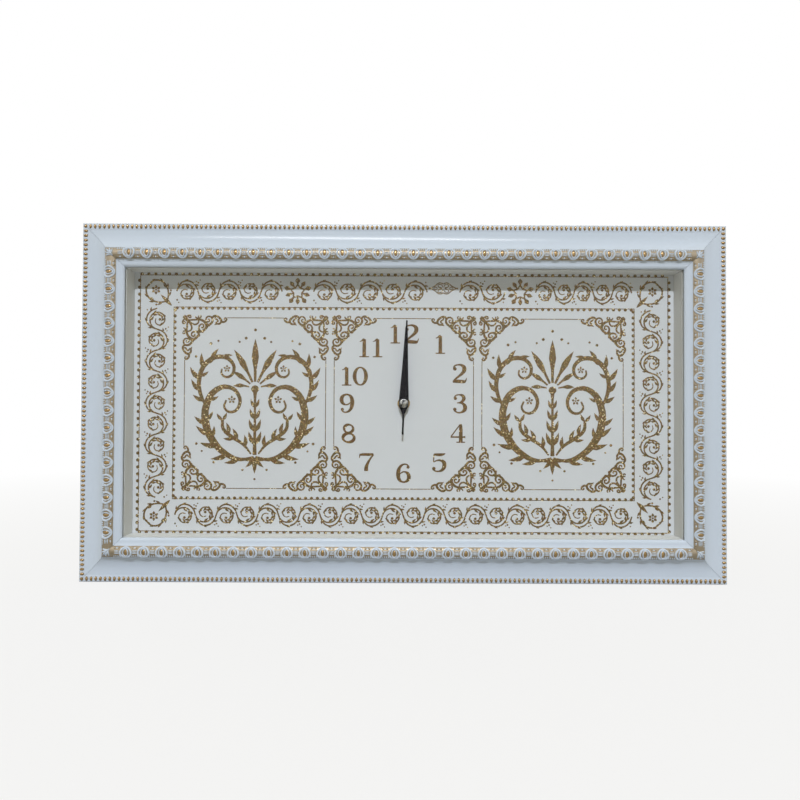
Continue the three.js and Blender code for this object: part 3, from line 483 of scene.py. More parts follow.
def setFloor():
    place = (0, 0, ground["height"])
    floor = settle(added(bpy.ops.mesh.primitive_plane_add, size=ground["size"], location=place))
    floor.name = "floor"
    paint = Paint("floorPaint")
    seen = paint.node("LightPath", out="Is Camera Ray")
    plain = paint.node("BsdfDiffuse", sockets={"Color": [ground["colour"]] * 3})
    bright = paint.node("Emission", sockets={"Color": (1, 1, 1), "Strength": 1.0})
    reach = paint.node("VectorMath", {"operation": "LENGTH"}, [paint.place()], out=1)
    near, far = ground["white"]
    glow = seen * (paint.ranged(reach, low=near, high=far) * (1 - ground["glow"]) + ground["glow"])
    floor.data.materials.append(paint.finish(paint.node("MixShader", sockets=[glow, plain, bright])))


setCamera()
setLight()
setWorld()
setFloor()
bpy.context.scene.view_settings.view_transform = "Standard"
print("camera and light set")


# Frame

rail = {
    "width": 680,
    "height": 378,
    "mitreGap": 0.15,
    "mitreSpare": 2,
    "outerFace": [(0, 0), (0, 36.6), (0.12, 37.9), (0.5, 38.8), (1.1, 39.4), (1.7, 39.55), (5.9, 39.6),
                  (6.5, 39.52), (6.9, 39.38), (7.3, 39.3), (8.6, 39.35), (9.8, 39.45)],
    "coveBend": (21.3, 39.6),
    "coveEnd": (27.6, 46.85),
    "coveSteps": 24,
    "lip": [(40.5, 48.75), (40.75, 48.5), (41.15, 48.3), (43.3, 47.73), (43.8, 47.68), (44.6, 47.66),
            (45.4, 47.52), (46.2, 47.24), (46.9, 46.84), (47.5, 46.28), (47.88, 45.75), (48.0, 45.2)],
    "back": [(48.0, 44.5), (40.5, 44.5), (40.5, 3.5), (30.5, 3.5), (30.5, 29), (14, 29), (14, 0)],
}
band = {  # the rounded band and its foil
    "inset": 34.6,
    "height": 51.76,
    "radius": 7.4,
    "edges": (-6.9, 5.7),
    "steps": 18,
    "foil": 0.14,
    "foilDepth": 0.7,
}
egg = {
    "inset": 33.8,
    "lift": 0.9,  # the eggs sit off the crown, away from the dial
    "blunt": 0.86,
    "cornerRun": 11.5,
    "longCount": 32,
    "shortCount": 16,
    "rings": [(6.75, 6.95, 2.3, 1.2, 30), (3.15, 5.35, 1.15, 1.25, 22)],  # half sizes, wall, rise, segments
    "ringRise": 0.1,
    "squeezes": [(0.35, 0.95), (0.7, 0.92)],
    "centre": (1.7, 4.2, 0.6, 12, 8),  # half sizes, rise, segments, rings
    "centreLift": 1.2,
    "centreTaper": 0.78,
    "pearl": (1.1, 0.8, 0.75),
    "pearlPlace": (0, -4.0, 0),
    "bars": [-1.35, 0.0, 1.35],
    "barSize": (2.9, 0.52, 0.9, 6, 4),
    "ribs": [(-3.1, 14), (-1.05, 5), (1.05, -5), (3.1, -14)],  # across, turn
    "ribSize": (0.6, 1.5, 1.0),
    "ribPlace": (5.0, -0.15),
    "buds": [(-2.0, -4.3, 14), (2.0, -4.3, -14)],
    "budSize": (1.2, 1.35, 1.0),
    "budSink": 0.1,
}
corner = {
    "lobes": [(-45, 5.6, 1.5, 3.3), (-20, 5.0, 1.2, 2.8), (-70, 5.0, 1.2, 2.8), (10, 4.2, 1.0, 2.8),
              (-100, 4.2, 1.0, 2.8)],  # turn, reach, half width, rise
    "fan": 0.55,
    "place": (-2.6, -2.0, 50.5),
}
bead = {"inset": 3.8, "seat": 39.58, "longGaps": 138, "shortGaps": 76, "size": (1.5, 2.45, 1.45)}


def bandArc(lift=0.0):
    outer, inner = band["edges"]
    points = []
    for i in range(band["steps"] + 1):
        away = outer + (inner - outer) * i / band["steps"]
        fall = band["radius"] - math.sqrt(band["radius"] ** 2 - away ** 2)
        points.append((band["inset"] + away, band["height"] + lift - fall))
    return points


def railSection():
    start, bend, end = rail["outerFace"][-1], rail["coveBend"], rail["coveEnd"]
    cove = []
    for i in range(1, rail["coveSteps"] + 1):
        t = i / rail["coveSteps"]
        cove.append([
            (1 - t) ** 2 * a + 2 * t * (1 - t) * b + t * t * c for a, b, c in zip(start, bend, end)])
    return rail["outerFace"] + cove + bandArc() + rail["lip"] + rail["back"]


def extrudedSection(points, length, across):  # points are inset and depth
    spare = rail["mitreSpare"]
    first = (-length / 2 - spare, across / 2 - points[0][0], points[0][1])
    piece = settle(added(bpy.ops.mesh.primitive_plane_add, size=1, location=first))
    editAll(piece)
    bpy.ops.mesh.merge(type="CENTER")
    for here, there in zip(points, points[1:] + points[:1]):
        step = (0, here[0] - there[0], there[1] - here[1])
        bpy.ops.mesh.extrude_vertices_move(TRANSFORM_OT_translate={"value": step})
    bpy.ops.mesh.select_all(action="SELECT")
    bpy.ops.mesh.remove_doubles(threshold=0.001)
    bpy.ops.mesh.select_all(action="SELECT")
    bpy.ops.mesh.extrude_edges_move(TRANSFORM_OT_translate={"value": (length + 2 * spare, 0, 0)})
    doneEditing()
    return piece


def mitreEnds(piece, length, across):
    for side in (-1, 1):
        place = (side * (length / 2 - rail["mitreGap"]), across / 2, 0)
        cutOff(piece, place, (side, -1, 0), threshold=0.0005)
    return facedOutwards(piece)


def ovalRing(halfWidth, halfHeight, wall, rise, segments):
    share = wall / halfWidth
    ring = added(bpy.ops.mesh.primitive_torus_add, major_segments=segments, minor_segments=6,
                 major_radius=1 - share / 2, minor_radius=share / 2)
    laid(ring, size=(halfWidth, halfHeight, rise * 2 / share))
    for below, squeeze in egg["squeezes"]:  # the end towards the dial is narrower
        resizeWhere(ring, lambda place: place.y < -below * halfHeight, (squeeze, 1, 1))
    resizeWhere(ring, lambda place: place.y > 0.01, (1, egg["blunt"], 1), center_override=(0, 0, 0))
    return ring


def dome(halfWidth, halfHeight, rise, segments=8, rings=6):
    made = added(bpy.ops.mesh.primitive_uv_sphere_add, segments=segments, ring_count=rings, radius=1)
    laid(made, size=(halfWidth, halfHeight, rise))
    cutOff(made, (0, 0, -0.1), (0, 0, -1))
    return made


def alongBand(piece, length, across, count, between=False, sink=0.0):  # flat ornament, bent and repeated
    reach = [vertex.co.y for vertex in piece.data.vertices]
    angle = (max(reach) - min(reach)) / band["radius"]
    piece.rotation_euler = (math.radians(90), 0, 0)
    settle(piece)
    finishWith(piece, "SIMPLE_DEFORM", deform_method="BEND", deform_axis="X", angle=angle)
    piece.rotation_euler = (math.radians(-90), 0, 0)
    settle(piece)
    run = length - 2 * egg["inset"] - 2 * egg["cornerRun"]
    pitch = run / count
    start = -run / 2 if between else -run / 2 + pitch / 2
    laid(piece, (start, across / 2 - band["inset"], band["height"] - sink))
    return row(piece, count + 1 if between else count, pitch)


def cornerLeaf(side, length, across):
    lobes = []
    for turn, reach, half, rise in corner["lobes"]:
        lobes.append(laid(dome(reach, half, rise, 10, 6), (*polar(corner["fan"] * reach, turn), 0), turn))
    inwards, down, height = corner["place"]
    place = (side * (length / 2 - egg["inset"] + inwards), across / 2 - band["inset"] + down, height)
    return laid(joined("leaf", lobes), place, 90 if side > 0 else 180)


def whiteRail(length, across, count):
    blank = extrudedSection(railSection(), length, across)
    rings = joined("rings", [ovalRing(*values) for values in egg["rings"]])
    alongBand(laid(rings, (0, egg["lift"], egg["ringRise"])), length, across, count)
    ribs = [laid(dome(*egg["ribSize"]), (x, *egg["ribPlace"]), turn) for x, turn in egg["ribs"]]
    bars = [laid(dome(*egg["barSize"]), (0, y, 0)) for y in egg["bars"]]
    darts = joined("darts", ribs + bars + [laid(dome(*egg["pearl"]), egg["pearlPlace"])])
    alongBand(darts, length, across, count, between=True)
    leaves = [cornerLeaf(side, length, across) for side in (-1, 1)]
    return mitreEnds(joined("moulding", [blank, rings, darts] + leaves), length, across)


def giltStrip(length, across, count):  # the foil on the band, and the buds between the eggs
    arc = bandArc(band["foil"])[1:]
    under = [(x, depth - band["foilDepth"]) for x, depth in (arc[-1], arc[len(arc) // 2], arc[0])]
    strip = extrudedSection(arc + under, length, across)
    buds = joined("buds", [laid(dome(*egg["budSize"]), (x, y, 0), turn) for x, y, turn in egg["buds"]])
    alongBand(buds, length, across, count, between=True, sink=egg["budSink"])
    return mitreEnds(joined("gilding", [strip, buds]), length, across)


def giltDrops(length, across, count, gaps):  # the egg centres and the outer beads
    centres = dome(*egg["centre"])
    resizeWhere(centres, lambda place: place.y < -0.5 * egg["centre"][1], (egg["centreTaper"], 1, 1))
    alongBand(laid(centres, (0, egg["centreLift"], 0)), length, across, count)
    beadRun = length - 2 * bead["inset"]
    beads = laid(dome(*bead["size"]), (-beadRun / 2, across / 2 - bead["inset"], bead["seat"]))
    row(beads, gaps + 1, beadRun / gaps)
    return mitreEnds(joined("drops", [centres, beads]), length, across)


def makeFrame():
    sides = [
        ("top", "bottom", 0, rail["width"], rail["height"], egg["longCount"], bead["longGaps"]),
        ("left", "right", 90, rail["height"], rail["width"], egg["shortCount"], bead["shortGaps"]),
    ]
    for near, far, turn, length, across, count, gaps in sides:
        white = whiteRail(length, across, count)
        gilt = giltStrip(length, across, count)
        drops = giltDrops(length, across, count, gaps)
        for side, angle in ((near, turn), (far, turn + 180)):
            moulding = copyOf(white, "moulding_" + side, turn=angle)
            hang(moulding, "clock", "frame_white", "frame_rail_" + side, smooth=28)
            hang(copyOf(gilt, "gilding_" + side, turn=angle), "clock", "gilt", smooth=40)
            beads = copyOf(drops, "gilt_drops_" + side, turn=angle)
            hang(beads, "clock", "gilt", smooth=40, paint="giltDrop")
        for master in (white, gilt, drops):
            bpy.data.objects.remove(master)


makeFrame()
print("frame moulded and gilded")


# Print on the canvas

ink = {"face": 22.58, "flatness": 0.045, "steps": 3, "drop": -0.25}
border = {  # half width, half height, half line, bead pitch, bead radius, start, side of the beads
    "outer": (285.2, 138.15, 0.45, 7.37, 1.85, 0.2, 1),
    "inner": (248.7, 103.5, 0.42, 6.38, 1.8, 0.5, -1),
}
borderBead = {"away": 0.6, "inset": 0.4, "depth": 0.1, "rise": 0.06}  # away and inset are of the radius
panels = {
    "sides": {"left": (-236.8, -84.3), "middle": (-75.2, 75.2), "right": (84.3, 236.8)},
    "half": 92.0,
    "line": 0.4,
}


def newCurve():
    curve = added(bpy.ops.curve.primitive_bezier_curve_add).data
    curve.splines.clear()
    return curve


def curveMesh(threshold):
    bpy.ops.object.convert(target="MESH")
    made = bpy.context.object
    editAll(made)
    bpy.ops.mesh.remove_doubles(threshold=threshold)
    doneEditing()
    return facedOutwards(made)


def drawn(strokes, closed=False):  # each stroke is a list of x, y and half width
    curve = newCurve()
    for stroke in strokes:
        spline = curve.splines.new("BEZIER")
        spline.bezier_points.add(len(stroke) - 1)
        for point, (x, y, half) in zip(spline.bezier_points, stroke):
            point.co = (x, y, 0)
            point.radius = half
            point.handle_left_type = point.handle_right_type = "AUTO"
        spline.use_cyclic_u = closed
    curve.dimensions = "3D"
    curve.twist_mode = "Z_UP"
    curve.resolution_u = ink["steps"]
    curve.bevel_depth = 1
    curve.bevel_resolution = 0
    curve.use_fill_caps = not closed
    return laid(curveMesh(0.001), (0, 0, ink["face"]), size=(1, 1, ink["flatness"]))


def layPrint(name, pieces):
    hang(laid(joined(name, pieces), (0, ink["drop"], 0)), "clock", "gold_glitter")


def placed(strokes, at=(0, 0), size=1.0, turn=0.0, flip=(1, 1), swap=False):
    cos, sin = polar(1, turn)
    made = []
    for stroke in strokes:
        points = []
        for x, y, half in stroke:
            x, y = (y, x) if swap else (x, y)
            x, y = x * flip[0] * size, y * flip[1] * size
            points.append((at[0] + x * cos - y * sin, at[1] + x * sin + y * cos, half * size))
        made.append(points)
    return made


def rectangle(halfWidth, halfHeight, half):
    lines = [[(-halfWidth - half, y, half), (halfWidth + half, y, half)] for y in (-halfHeight, halfHeight)]
    return lines + [[(x, -halfHeight, half), (x, halfHeight, half)] for x in (-halfWidth, halfWidth)]


def dot(x, y, half):
    shape = ((-1, 0.25), (-0.6, 0.8), (0, 1), (0.6, 0.8), (1, 0.25))
    return [(x + along * half, y, share * half) for along, share in shape]


def dots(places):
    return [dot(*values) for values in places]


leafShapes = {  # share of the length, share of the half width
    "plain": ((0, 0.2), (0.15, 0.6), (0.4, 1.0), (0.7, 0.66), (1, 0.05)),
    "spear": ((0, 0.35), (0.3, 0.42), (0.58, 1.0), (0.78, 0.72), (1, 0.05)),
}


def leaf(x, y, angle, length, half, bend=0.0, shape="plain"):
    cos, sin = polar(length, angle)
    points = []
    for along, width in leafShapes[shape]:
        side = bend * along * along
        points.append((x + along * cos - side * sin, y + along * sin + side * cos, half * width))
    return points


def sprig(path, share, side, length, half, spread=40, bend=0.25):  # a leaf that grows from a stem
    left = share * sum(math.dist(a[:2], b[:2]) for a, b in zip(path, path[1:]))
    for (x, y, _), (nextX, nextY, _) in zip(path, path[1:]):
        reach = math.hypot(nextX - x, nextY - y)
        if left <= reach:
            break
        left -= reach
    t = left / reach
    angle = math.degrees(math.atan2(nextY - y, nextX - x)) + side * spread
    return leaf(x + (nextX - x) * t, y + (nextY - y) * t, angle, length, half, -side * bend)


def blossom(x, y, radius, petals):
    strokes = [dot(x, y, 0.22 * radius)]
    for i in range(petals):
        angle = 90 + 360 * i / petals
        strokes.append(leaf(*polar(0.3 * radius, angle, x, y), angle, 0.72 * radius, 0.3 * radius))
    return strokes


def borderBeads(halfWidth, halfHeight, pitch, radius, start, outward):
    beads = []
    shift = outward * radius * borderBead["away"]
    first = added(bpy.ops.mesh.primitive_cylinder_add, vertices=10, radius=radius, depth=borderBead["depth"])
    editWhere(first, lambda normal: normal.z > 0.9)
    bpy.ops.mesh.inset(thickness=radius * borderBead["inset"])
    bpy.ops.transform.translate(value=(0, 0, borderBead["rise"]))
    doneEditing()
    for half, away, turn in ((halfWidth, halfHeight, 0), (halfHeight, halfWidth, 90)):
        count = round(2 * half / pitch)
        step = 2 * half / count
        for side in (-1, 1):
            place = (-half + start * step, side * (away + shift), ink["face"])
            beads.append(laid(row(copyOf(first, "run", place), count, step), turn=turn))
    bpy.data.objects.remove(first)
    return joined("beads", beads)


def printBorders():
    for name, (halfWidth, halfHeight, half, *beadValues) in border.items():
        lines = drawn(rectangle(halfWidth, halfHeight, half))
        layPrint("print_border_" + name, [lines, borderBeads(halfWidth, halfHeight, *beadValues)])


# One half of a corner scroll, in steps of 1.08 mm from the corner; the other half mirrors it
scroll = {"step": 1.0792, "line": 2.7, "reach": 45.0, "weight": 1.42}
scrollStem = [
    [(1.2, 1.0, 1.0), (2.2, 1.9, 1.5), (4.2, 4.1, 1.3), (6.1, 6.1, 1.0)],
    [(15.4, 15.4, 0.5), (16.6, 16.6, 1.2), (18.0, 18.0, 0.4)],
]
scrollHalf = [
    [(3.6, 2.4, 0.5), (5.2, 1.0, 0.55), (7.4, 0.3, 0.6), (8.7, 1.3, 0.55), (8.0, 2.6, 0.55), (6.6, 2.3, 0.5),
     (6.4, 1.2, 0.4)],
    [(5.6, 5.4, 0.6), (8.5, 5.0, 0.65), (12.5, 4.8, 0.65), (16.3, 4.5, 0.75), (19.9, 5.3, 0.85),
     (22.8, 7.6, 0.95), (24.6, 10.3, 1.25), (23.7, 13.0, 0.95), (21.6, 15.2, 0.85), (18.9, 16.6, 0.8),
     (16.9, 14.6, 0.75), (16.7, 12.0, 0.65), (18.0, 9.8, 0.6), (20.2, 9.3, 0.6), (21.4, 10.9, 0.6),
     (20.6, 12.7, 0.6), (19.0, 12.3, 0.5)],
    [(6.1, 6.1, 0.8), (8.6, 7.8, 0.65), (11, 9.2, 0.65), (13.6, 9.4, 0.65), (15.6, 8.2, 0.6),
     (16.4, 6.4, 0.55), (16.3, 4.8, 0.45)],
    [(16.3, 4.8, 0.5), (16.2, 2.8, 0.6), (16.4, 0.4, 0.4)],
    [(16.2, 3.4, 0.35), (14.8, 3.1, 0.5), (13.4, 2.3, 0.5), (13.0, 1.0, 0.35)],
    [(16.3, 3.0, 0.35), (17.6, 2.9, 0.5), (18.7, 2.0, 0.5), (18.4, 0.7, 0.45), (17.5, 0.6, 0.35)],
    [(23.0, 8.2, 0.7), (25.0, 10.1, 1.3), (27.6, 11.1, 0.2)],
    [(24.5, 10.5, 0.9), (27.2, 9.6, 0.8), (29.4, 7.8, 0.8), (30.4, 5.2, 0.75), (29.6, 2.8, 0.7),
     (27.3, 1.4, 0.6), (24.9, 2.0, 0.6), (23.6, 4.2, 0.55), (24.4, 6.4, 0.55), (26.3, 6.8, 0.5),
     (27.3, 5.3, 0.5), (26.4, 4.1, 0.45), (25.4, 4.6, 0.35)],
    [(29.8, 3.2, 0.7), (31.2, 1.3, 0.75), (33.3, 0.7, 0.75), (36.0, 1.9, 0.75), (38.3, 4.1, 0.85),
     (39.0, 6.4, 0.8), (37.2, 8.7, 0.75), (34.4, 8.9, 0.6), (32.0, 9.9, 0.2)],
    [(33.0, 1.4, 0.4), (33.1, 3.5, 0.6), (34.9, 4.7, 0.6), (35.7, 6.2, 0.55), (34.3, 7.2, 0.5),
     (33.2, 8.6, 0.4)],
    [(38.7, 6.2, 0.7), (40.6, 7.0, 0.75), (42.7, 6.4, 0.75), (44.2, 4.9, 0.65), (44.2, 3.4, 0.55),
     (42.9, 2.9, 0.5), (41.9, 3.8, 0.45), (42.5, 4.7, 0.35)],
    [(19.4, 15.4, 0.6), (20.4, 16.8, 1.0), (21.6, 17.4, 0.25)],
]


def cornerScroll():
    line = scroll["line"]
    both = scrollStem + scrollHalf + placed(scrollHalf, swap=True)
    shifted = [[(x - line, y - line, half * scroll["weight"]) for x, y, half in stroke] for stroke in both]
    return placed(shifted, size=scroll["step"])


def printPanels():
    strokes = cornerScroll()
    reach = (scroll["reach"] - scroll["line"]) * scroll["step"]
    top, half = panels["half"], panels["line"]
    for name, (left, right) in panels["sides"].items():
        lines = []
        for x, fromLeft in ((left, 1), (right, -1)):
            for y, fromBottom in ((-top, 1), (top, -1)):
                lines += placed(strokes, (x, y), flip=(fromLeft, fromBottom))
            lines.append([(x, -top + reach, half), (x, top - reach, half)])
        for y in (-top, top):
            lines.append([(left + reach, y, half), (right - reach, y, half)])
        layPrint("print_panel_" + name, [drawn(lines)])


# Rosettes and the small oval of the top band

rosette = {
    "places": [(-115.2, 120.6), (125.5, 120.6)],
    "points": 5,
    "reach": (7.0, 4.7),
    "ring": 0.85,
    "leaves": [(8.2, 2.7), (9.2, 2.3)],  # length, half width
}
oval = {
    "place": (42.3, 124.9),
    "quarter": [
        [(0, 4.6, 0.55), (1.6, 5.6, 0.6), (3.8, 6.0, 0.6), (6.2, 5.0, 0.6), (8.2, 3.2, 0.6),
         (11.0, 1.5, 0.55), (14.2, 0, 0.5)],
        [(0.5, 1.2, 0.35), (1.6, 3.6, 0.5), (4.0, 4.4, 0.5), (5.8, 3.0, 0.5), (4.4, 1.2, 0.5),
         (1.8, 0.9, 0.4)],
        [(6.4, 0.2, 0.35), (8.0, 1.4, 0.45), (10.6, 0.3, 0.35)],
    ],
    "dots": [(-15, 0, 1.0), (15, 0, 1.0), (-2.4, 0, 0.9), (2.4, 0, 0.9)],
}


def printRosettes():
    rings, leaves = [], []
    for x, y in rosette["places"]:
        ring = []
        for i in range(2 * rosette["points"]):
            angle = 90 - 180 * i / rosette["points"]
            tip = polar(rosette["reach"][i % 2], angle, x, y)
            ring.append((*tip, rosette["ring"]))
            leaves.append(leaf(*tip, angle, *rosette["leaves"][i % 2], shape="spear"))
        rings.append(ring)
    layPrint("print_rosettes", [drawn(rings, closed=True), drawn(leaves)])


def printOval():
    strokes = placed(dots(oval["dots"]), oval["place"])
    for flip in ((1, 1), (-1, 1), (1, -1), (-1, -1)):
        strokes += placed(oval["quarter"], oval["place"], flip=flip)
    layPrint("print_oval", [drawn(strokes)])


# Running vine of the band, and the flower scrolls of the side panels

vine = {
    "middle": 120.6,
    "sideMiddle": 267.0,
    "top": [(-246, -132, 5), (-98, 25, 5), (60, 109, 2), (142, 246, 5)],  # from, to, cells
    "bottom": (-246, 246, 22),
    "side": (-102, 102, 9),
    "crest": 11.2,
    # x is a share of the cell here, and the stem's y a share of the crest
    "stem": [(0, 0, 0.8), (0.12, 0.58, 0.85), (0.32, 0.95, 0.85), (0.6, 0.98, 0.85), (0.88, 0.58, 0.85),
             (1, 0, 0.8)],
    "curl": [(0.04, 1.8, 0.4), (0.16, 5.6, 0.75), (0.4, 7.6, 0.85), (0.68, 5.6, 0.85), (0.8, 0.6, 0.85),
             (0.74, -5.4, 0.8), (0.52, -8.4, 0.75), (0.28, -6.6, 0.7), (0.2, -1.8, 0.65), (0.34, 1.8, 0.6),
             (0.52, 1.2, 0.45)],
    "dots": [(0.47, -3.0, 1.5), (0.02, -9.4, 1.0), (0.1, -12.2, 0.75), (0.93, 10.6, 0.8)],
    "stemLeaves": [(0.16, 1, 4.6, 1.05), (0.42, 1, 4.6, 1.05), (0.78, 1, 4.6, 1.05)],
    "curlLeaves": [(0.2, -1, 6.0, 1.2, 36), (0.33, -1, 5.6, 1.2, 40), (0.44, -1, 5.6, 1.25, 44),
                   (0.54, -1, 5.6, 1.25, 46), (0.64, -1, 5.2, 1.15, 48), (0.73, -1, 4.4, 1.05, 48),
                   (0.36, 1, 4.4, 1.1, 40), (0.56, 1, 3.8, 1.0, 46), (0.78, 1, 3.2, 0.9, 40)],
}
palm = {
    "tip": (-15.5, -15.5, 45, 17, 2.2),
    "blossom": (1.5, 1.5, 5.2, 6),
    "dots": [(-14.5, 1, 1.1), (1, -14.5, 1.1)],
    "branch": [(-10, -11, 0.8), (-2, -12, 0.9), (7, -9, 1.0), (12, -1, 0.95), (10, 6.6, 0.8),
               (5.4, 9.4, 0.5)],
    "leaves": [(0.12, -1, 6, 1.2), (0.32, -1, 6.4, 1.3), (0.52, -1, 6, 1.2), (0.36, 1, 5, 1.1),
               (0.72, -1, 5, 1.1)],
}


def vineRun(start, end, cells):
    step = (end - start) / cells
    stem = [(x * step, y * vine["crest"], half) for x, y, half in vine["stem"]]
    curl = [(x * step, y, half) for x, y, half in vine["curl"]]
    cell = [stem, curl] + [dot(x * step, y, half) for x, y, half in vine["dots"]]
    cell += [sprig(curl, *values) for values in vine["curlLeaves"]]
    cell += [sprig(stem, *values) for values in vine["stemLeaves"]]
    strokes = []
    for i in range(cells):
        strokes += placed(cell, (start + i * step, 0), flip=(1, -1 if i % 2 else 1))
    return strokes


def cornerPalm():
    strokes = [leaf(*palm["tip"])] + dots(palm["dots"]) + blossom(*palm["blossom"])
    branch = [palm["branch"]] + [sprig(palm["branch"], *values) for values in palm["leaves"]]
    return strokes + branch + placed(branch, swap=True)


def printBand():
    rows = placed(vineRun(*vine["bottom"]), (0, -vine["middle"]))
    for run in vine["top"]:
        rows += placed(vineRun(*run), (0, vine["middle"]))
    layPrint("print_band_rows", [drawn(rows)])
    sides = []
    for side in (-1, 1):
        x = side * vine["sideMiddle"]
        sides += placed(vineRun(*vine["side"]), (x, 0), turn=90)
        for end in (-1, 1):
            sides += placed(cornerPalm(), (x, end * vine["middle"]), flip=(side, end))
    layPrint("print_band_sides", [drawn(sides)])


spray = {
    "places": {"left": (-160.5, 2), "right": (160.5, 2)},
    "volute": [(1, -60, 0.9), (15, -63, 2.0), (31, -57, 3.1), (45, -43, 3.9), (53, -24, 4.2), (52, -3, 3.8),
               (42, 12, 3.1), (28, 15, 2.3), (18, 7, 2.0), (17, -5, 1.8), (25, -12, 1.5), (33, -7, 1.2),
               (31, 1, 1.0)],
    "curl": [(51, -8, 1.2), (59, 8, 2.0), (60, 26, 2.4), (52, 42, 2.6), (38, 48, 2.4), (26, 43, 2.0),
             (23, 33, 1.7), (29, 26, 1.4), (36, 29, 1.1), (36, 35, 0.9)],
    "root": [(4, -57, 0.9), (12, -47, 1.6), (24, -39, 2.0), (34, -30, 1.9), (35, -20, 1.5)],
    "leaves": {
        "volute": [(0.09, -1, 16, 2.6), (0.165, -1, 18, 2.9), (0.245, -1, 19, 3.0), (0.325, -1, 18, 2.9),
                   (0.4, -1, 14, 2.5), (0.31, 1, 12, 2.3), (0.42, 1, 12, 2.3), (0.55, 1, 10, 2.0)],
        "curl": [(0.08, -1, 13, 2.4), (0.18, -1, 15, 2.6), (0.29, -1, 16, 2.7), (0.4, -1, 16, 2.7),
                 (0.51, -1, 14, 2.5), (0.62, -1, 11, 2.1), (0.32, 1, 10, 2.0), (0.46, 1, 9, 1.9)],
        "root": [(0.2, 1, 12, 2.3), (0.42, 1, 13, 2.4), (0.64, 1, 12, 2.3), (0.5, -1, 11, 2.1),
                 (0.99, 1, 9, 1.9), (0.99, -1, 9, 1.9)],
    },
    # angle, start, length, half width, bend
    "middle": [(90, 7, 46, 3.9, 0.0), (66, 7, 40, 3.5, -0.1), (42, 7, 23, 2.7, -0.12),
               (14, 6.5, 17, 2.3, -0.2)],
    "crown": 14,
    "foot": [(-90, 17, 2.7, 0.0), (-58, 14, 2.4, 0.2), (-28, 12, 2.1, 0.3)],
    "footHeight": -61,
    "blossoms": [(25, 1.5, 4.4, 5), (30.5, 35, 4.0, 5)],
    "dots": [(10, 68, 1.6), (17, 64, 1.2), (63, -46, 1.5), (57, -54, 1.1), (44, -66, 1.4), (64, 48, 1.4),
             (48, 62, 1.6), (40, 65, 1.2), (13, -74, 1.3)],
    "axisDots": [(0, 13, 4.2), (0, 77, 1.6), (0, -84, 1.2)],
    "stalk": [(0, -58, 2.2), (0, -40, 1.6), (0, -20, 1.3), (0, 2, 1.3), (0, 12, 2.4)],
    "stalkLeaves": [(0.16, -1, 15, 2.6), (0.36, -1, 14, 2.4), (0.55, -1, 12, 2.2), (0.73, -1, 10, 1.9)],
}


def sprayHalf():
    strokes = [spray[name] for name in spray["leaves"]] + dots(spray["dots"])
    for name, leaves in spray["leaves"].items():
        strokes += [sprig(spray[name], *values, spread=52, bend=0.3) for values in leaves]
    for angle, start, *values in spray["middle"]:
        strokes.append(leaf(*polar(start, angle, 0, spray["crown"]), angle, *values, "spear"))
    strokes += [leaf(0, spray["footHeight"], *values) for values in spray["foot"]]
    for values in spray["blossoms"]:
        strokes += blossom(*values)
    return strokes + [sprig(spray["stalk"], *values, spread=42, bend=0.3) for values in spray["stalkLeaves"]]


def printSprays():
    strokes = [spray["stalk"]] + dots(spray["axisDots"])
    strokes += sprayHalf() + placed(sprayHalf(), flip=(-1, 1))
    for name, place in spray["places"].items():
        layPrint("print_spray_" + name, [drawn(placed(strokes, place))])


printBorders()
printPanels()
printRosettes()
printOval()
printBand()
printSprays()
print("canvas printed")


# Numerals, drawn 20.3 mm tall

def bowl(x, y, halfWidth, halfHeight, steps, thick, thin, lean=0.0):  # a closed ring, thin at top and bottom
    points = []
    for i in range(steps):
        cos, sin = polar(1, 360 * i / steps)
        weight = abs(polar(1, 360 * i / steps - lean)[0]) ** 1.6
        points.append((x + halfWidth * cos, y + halfHeight * sin, thin + (thick - thin) * weight))
    return points


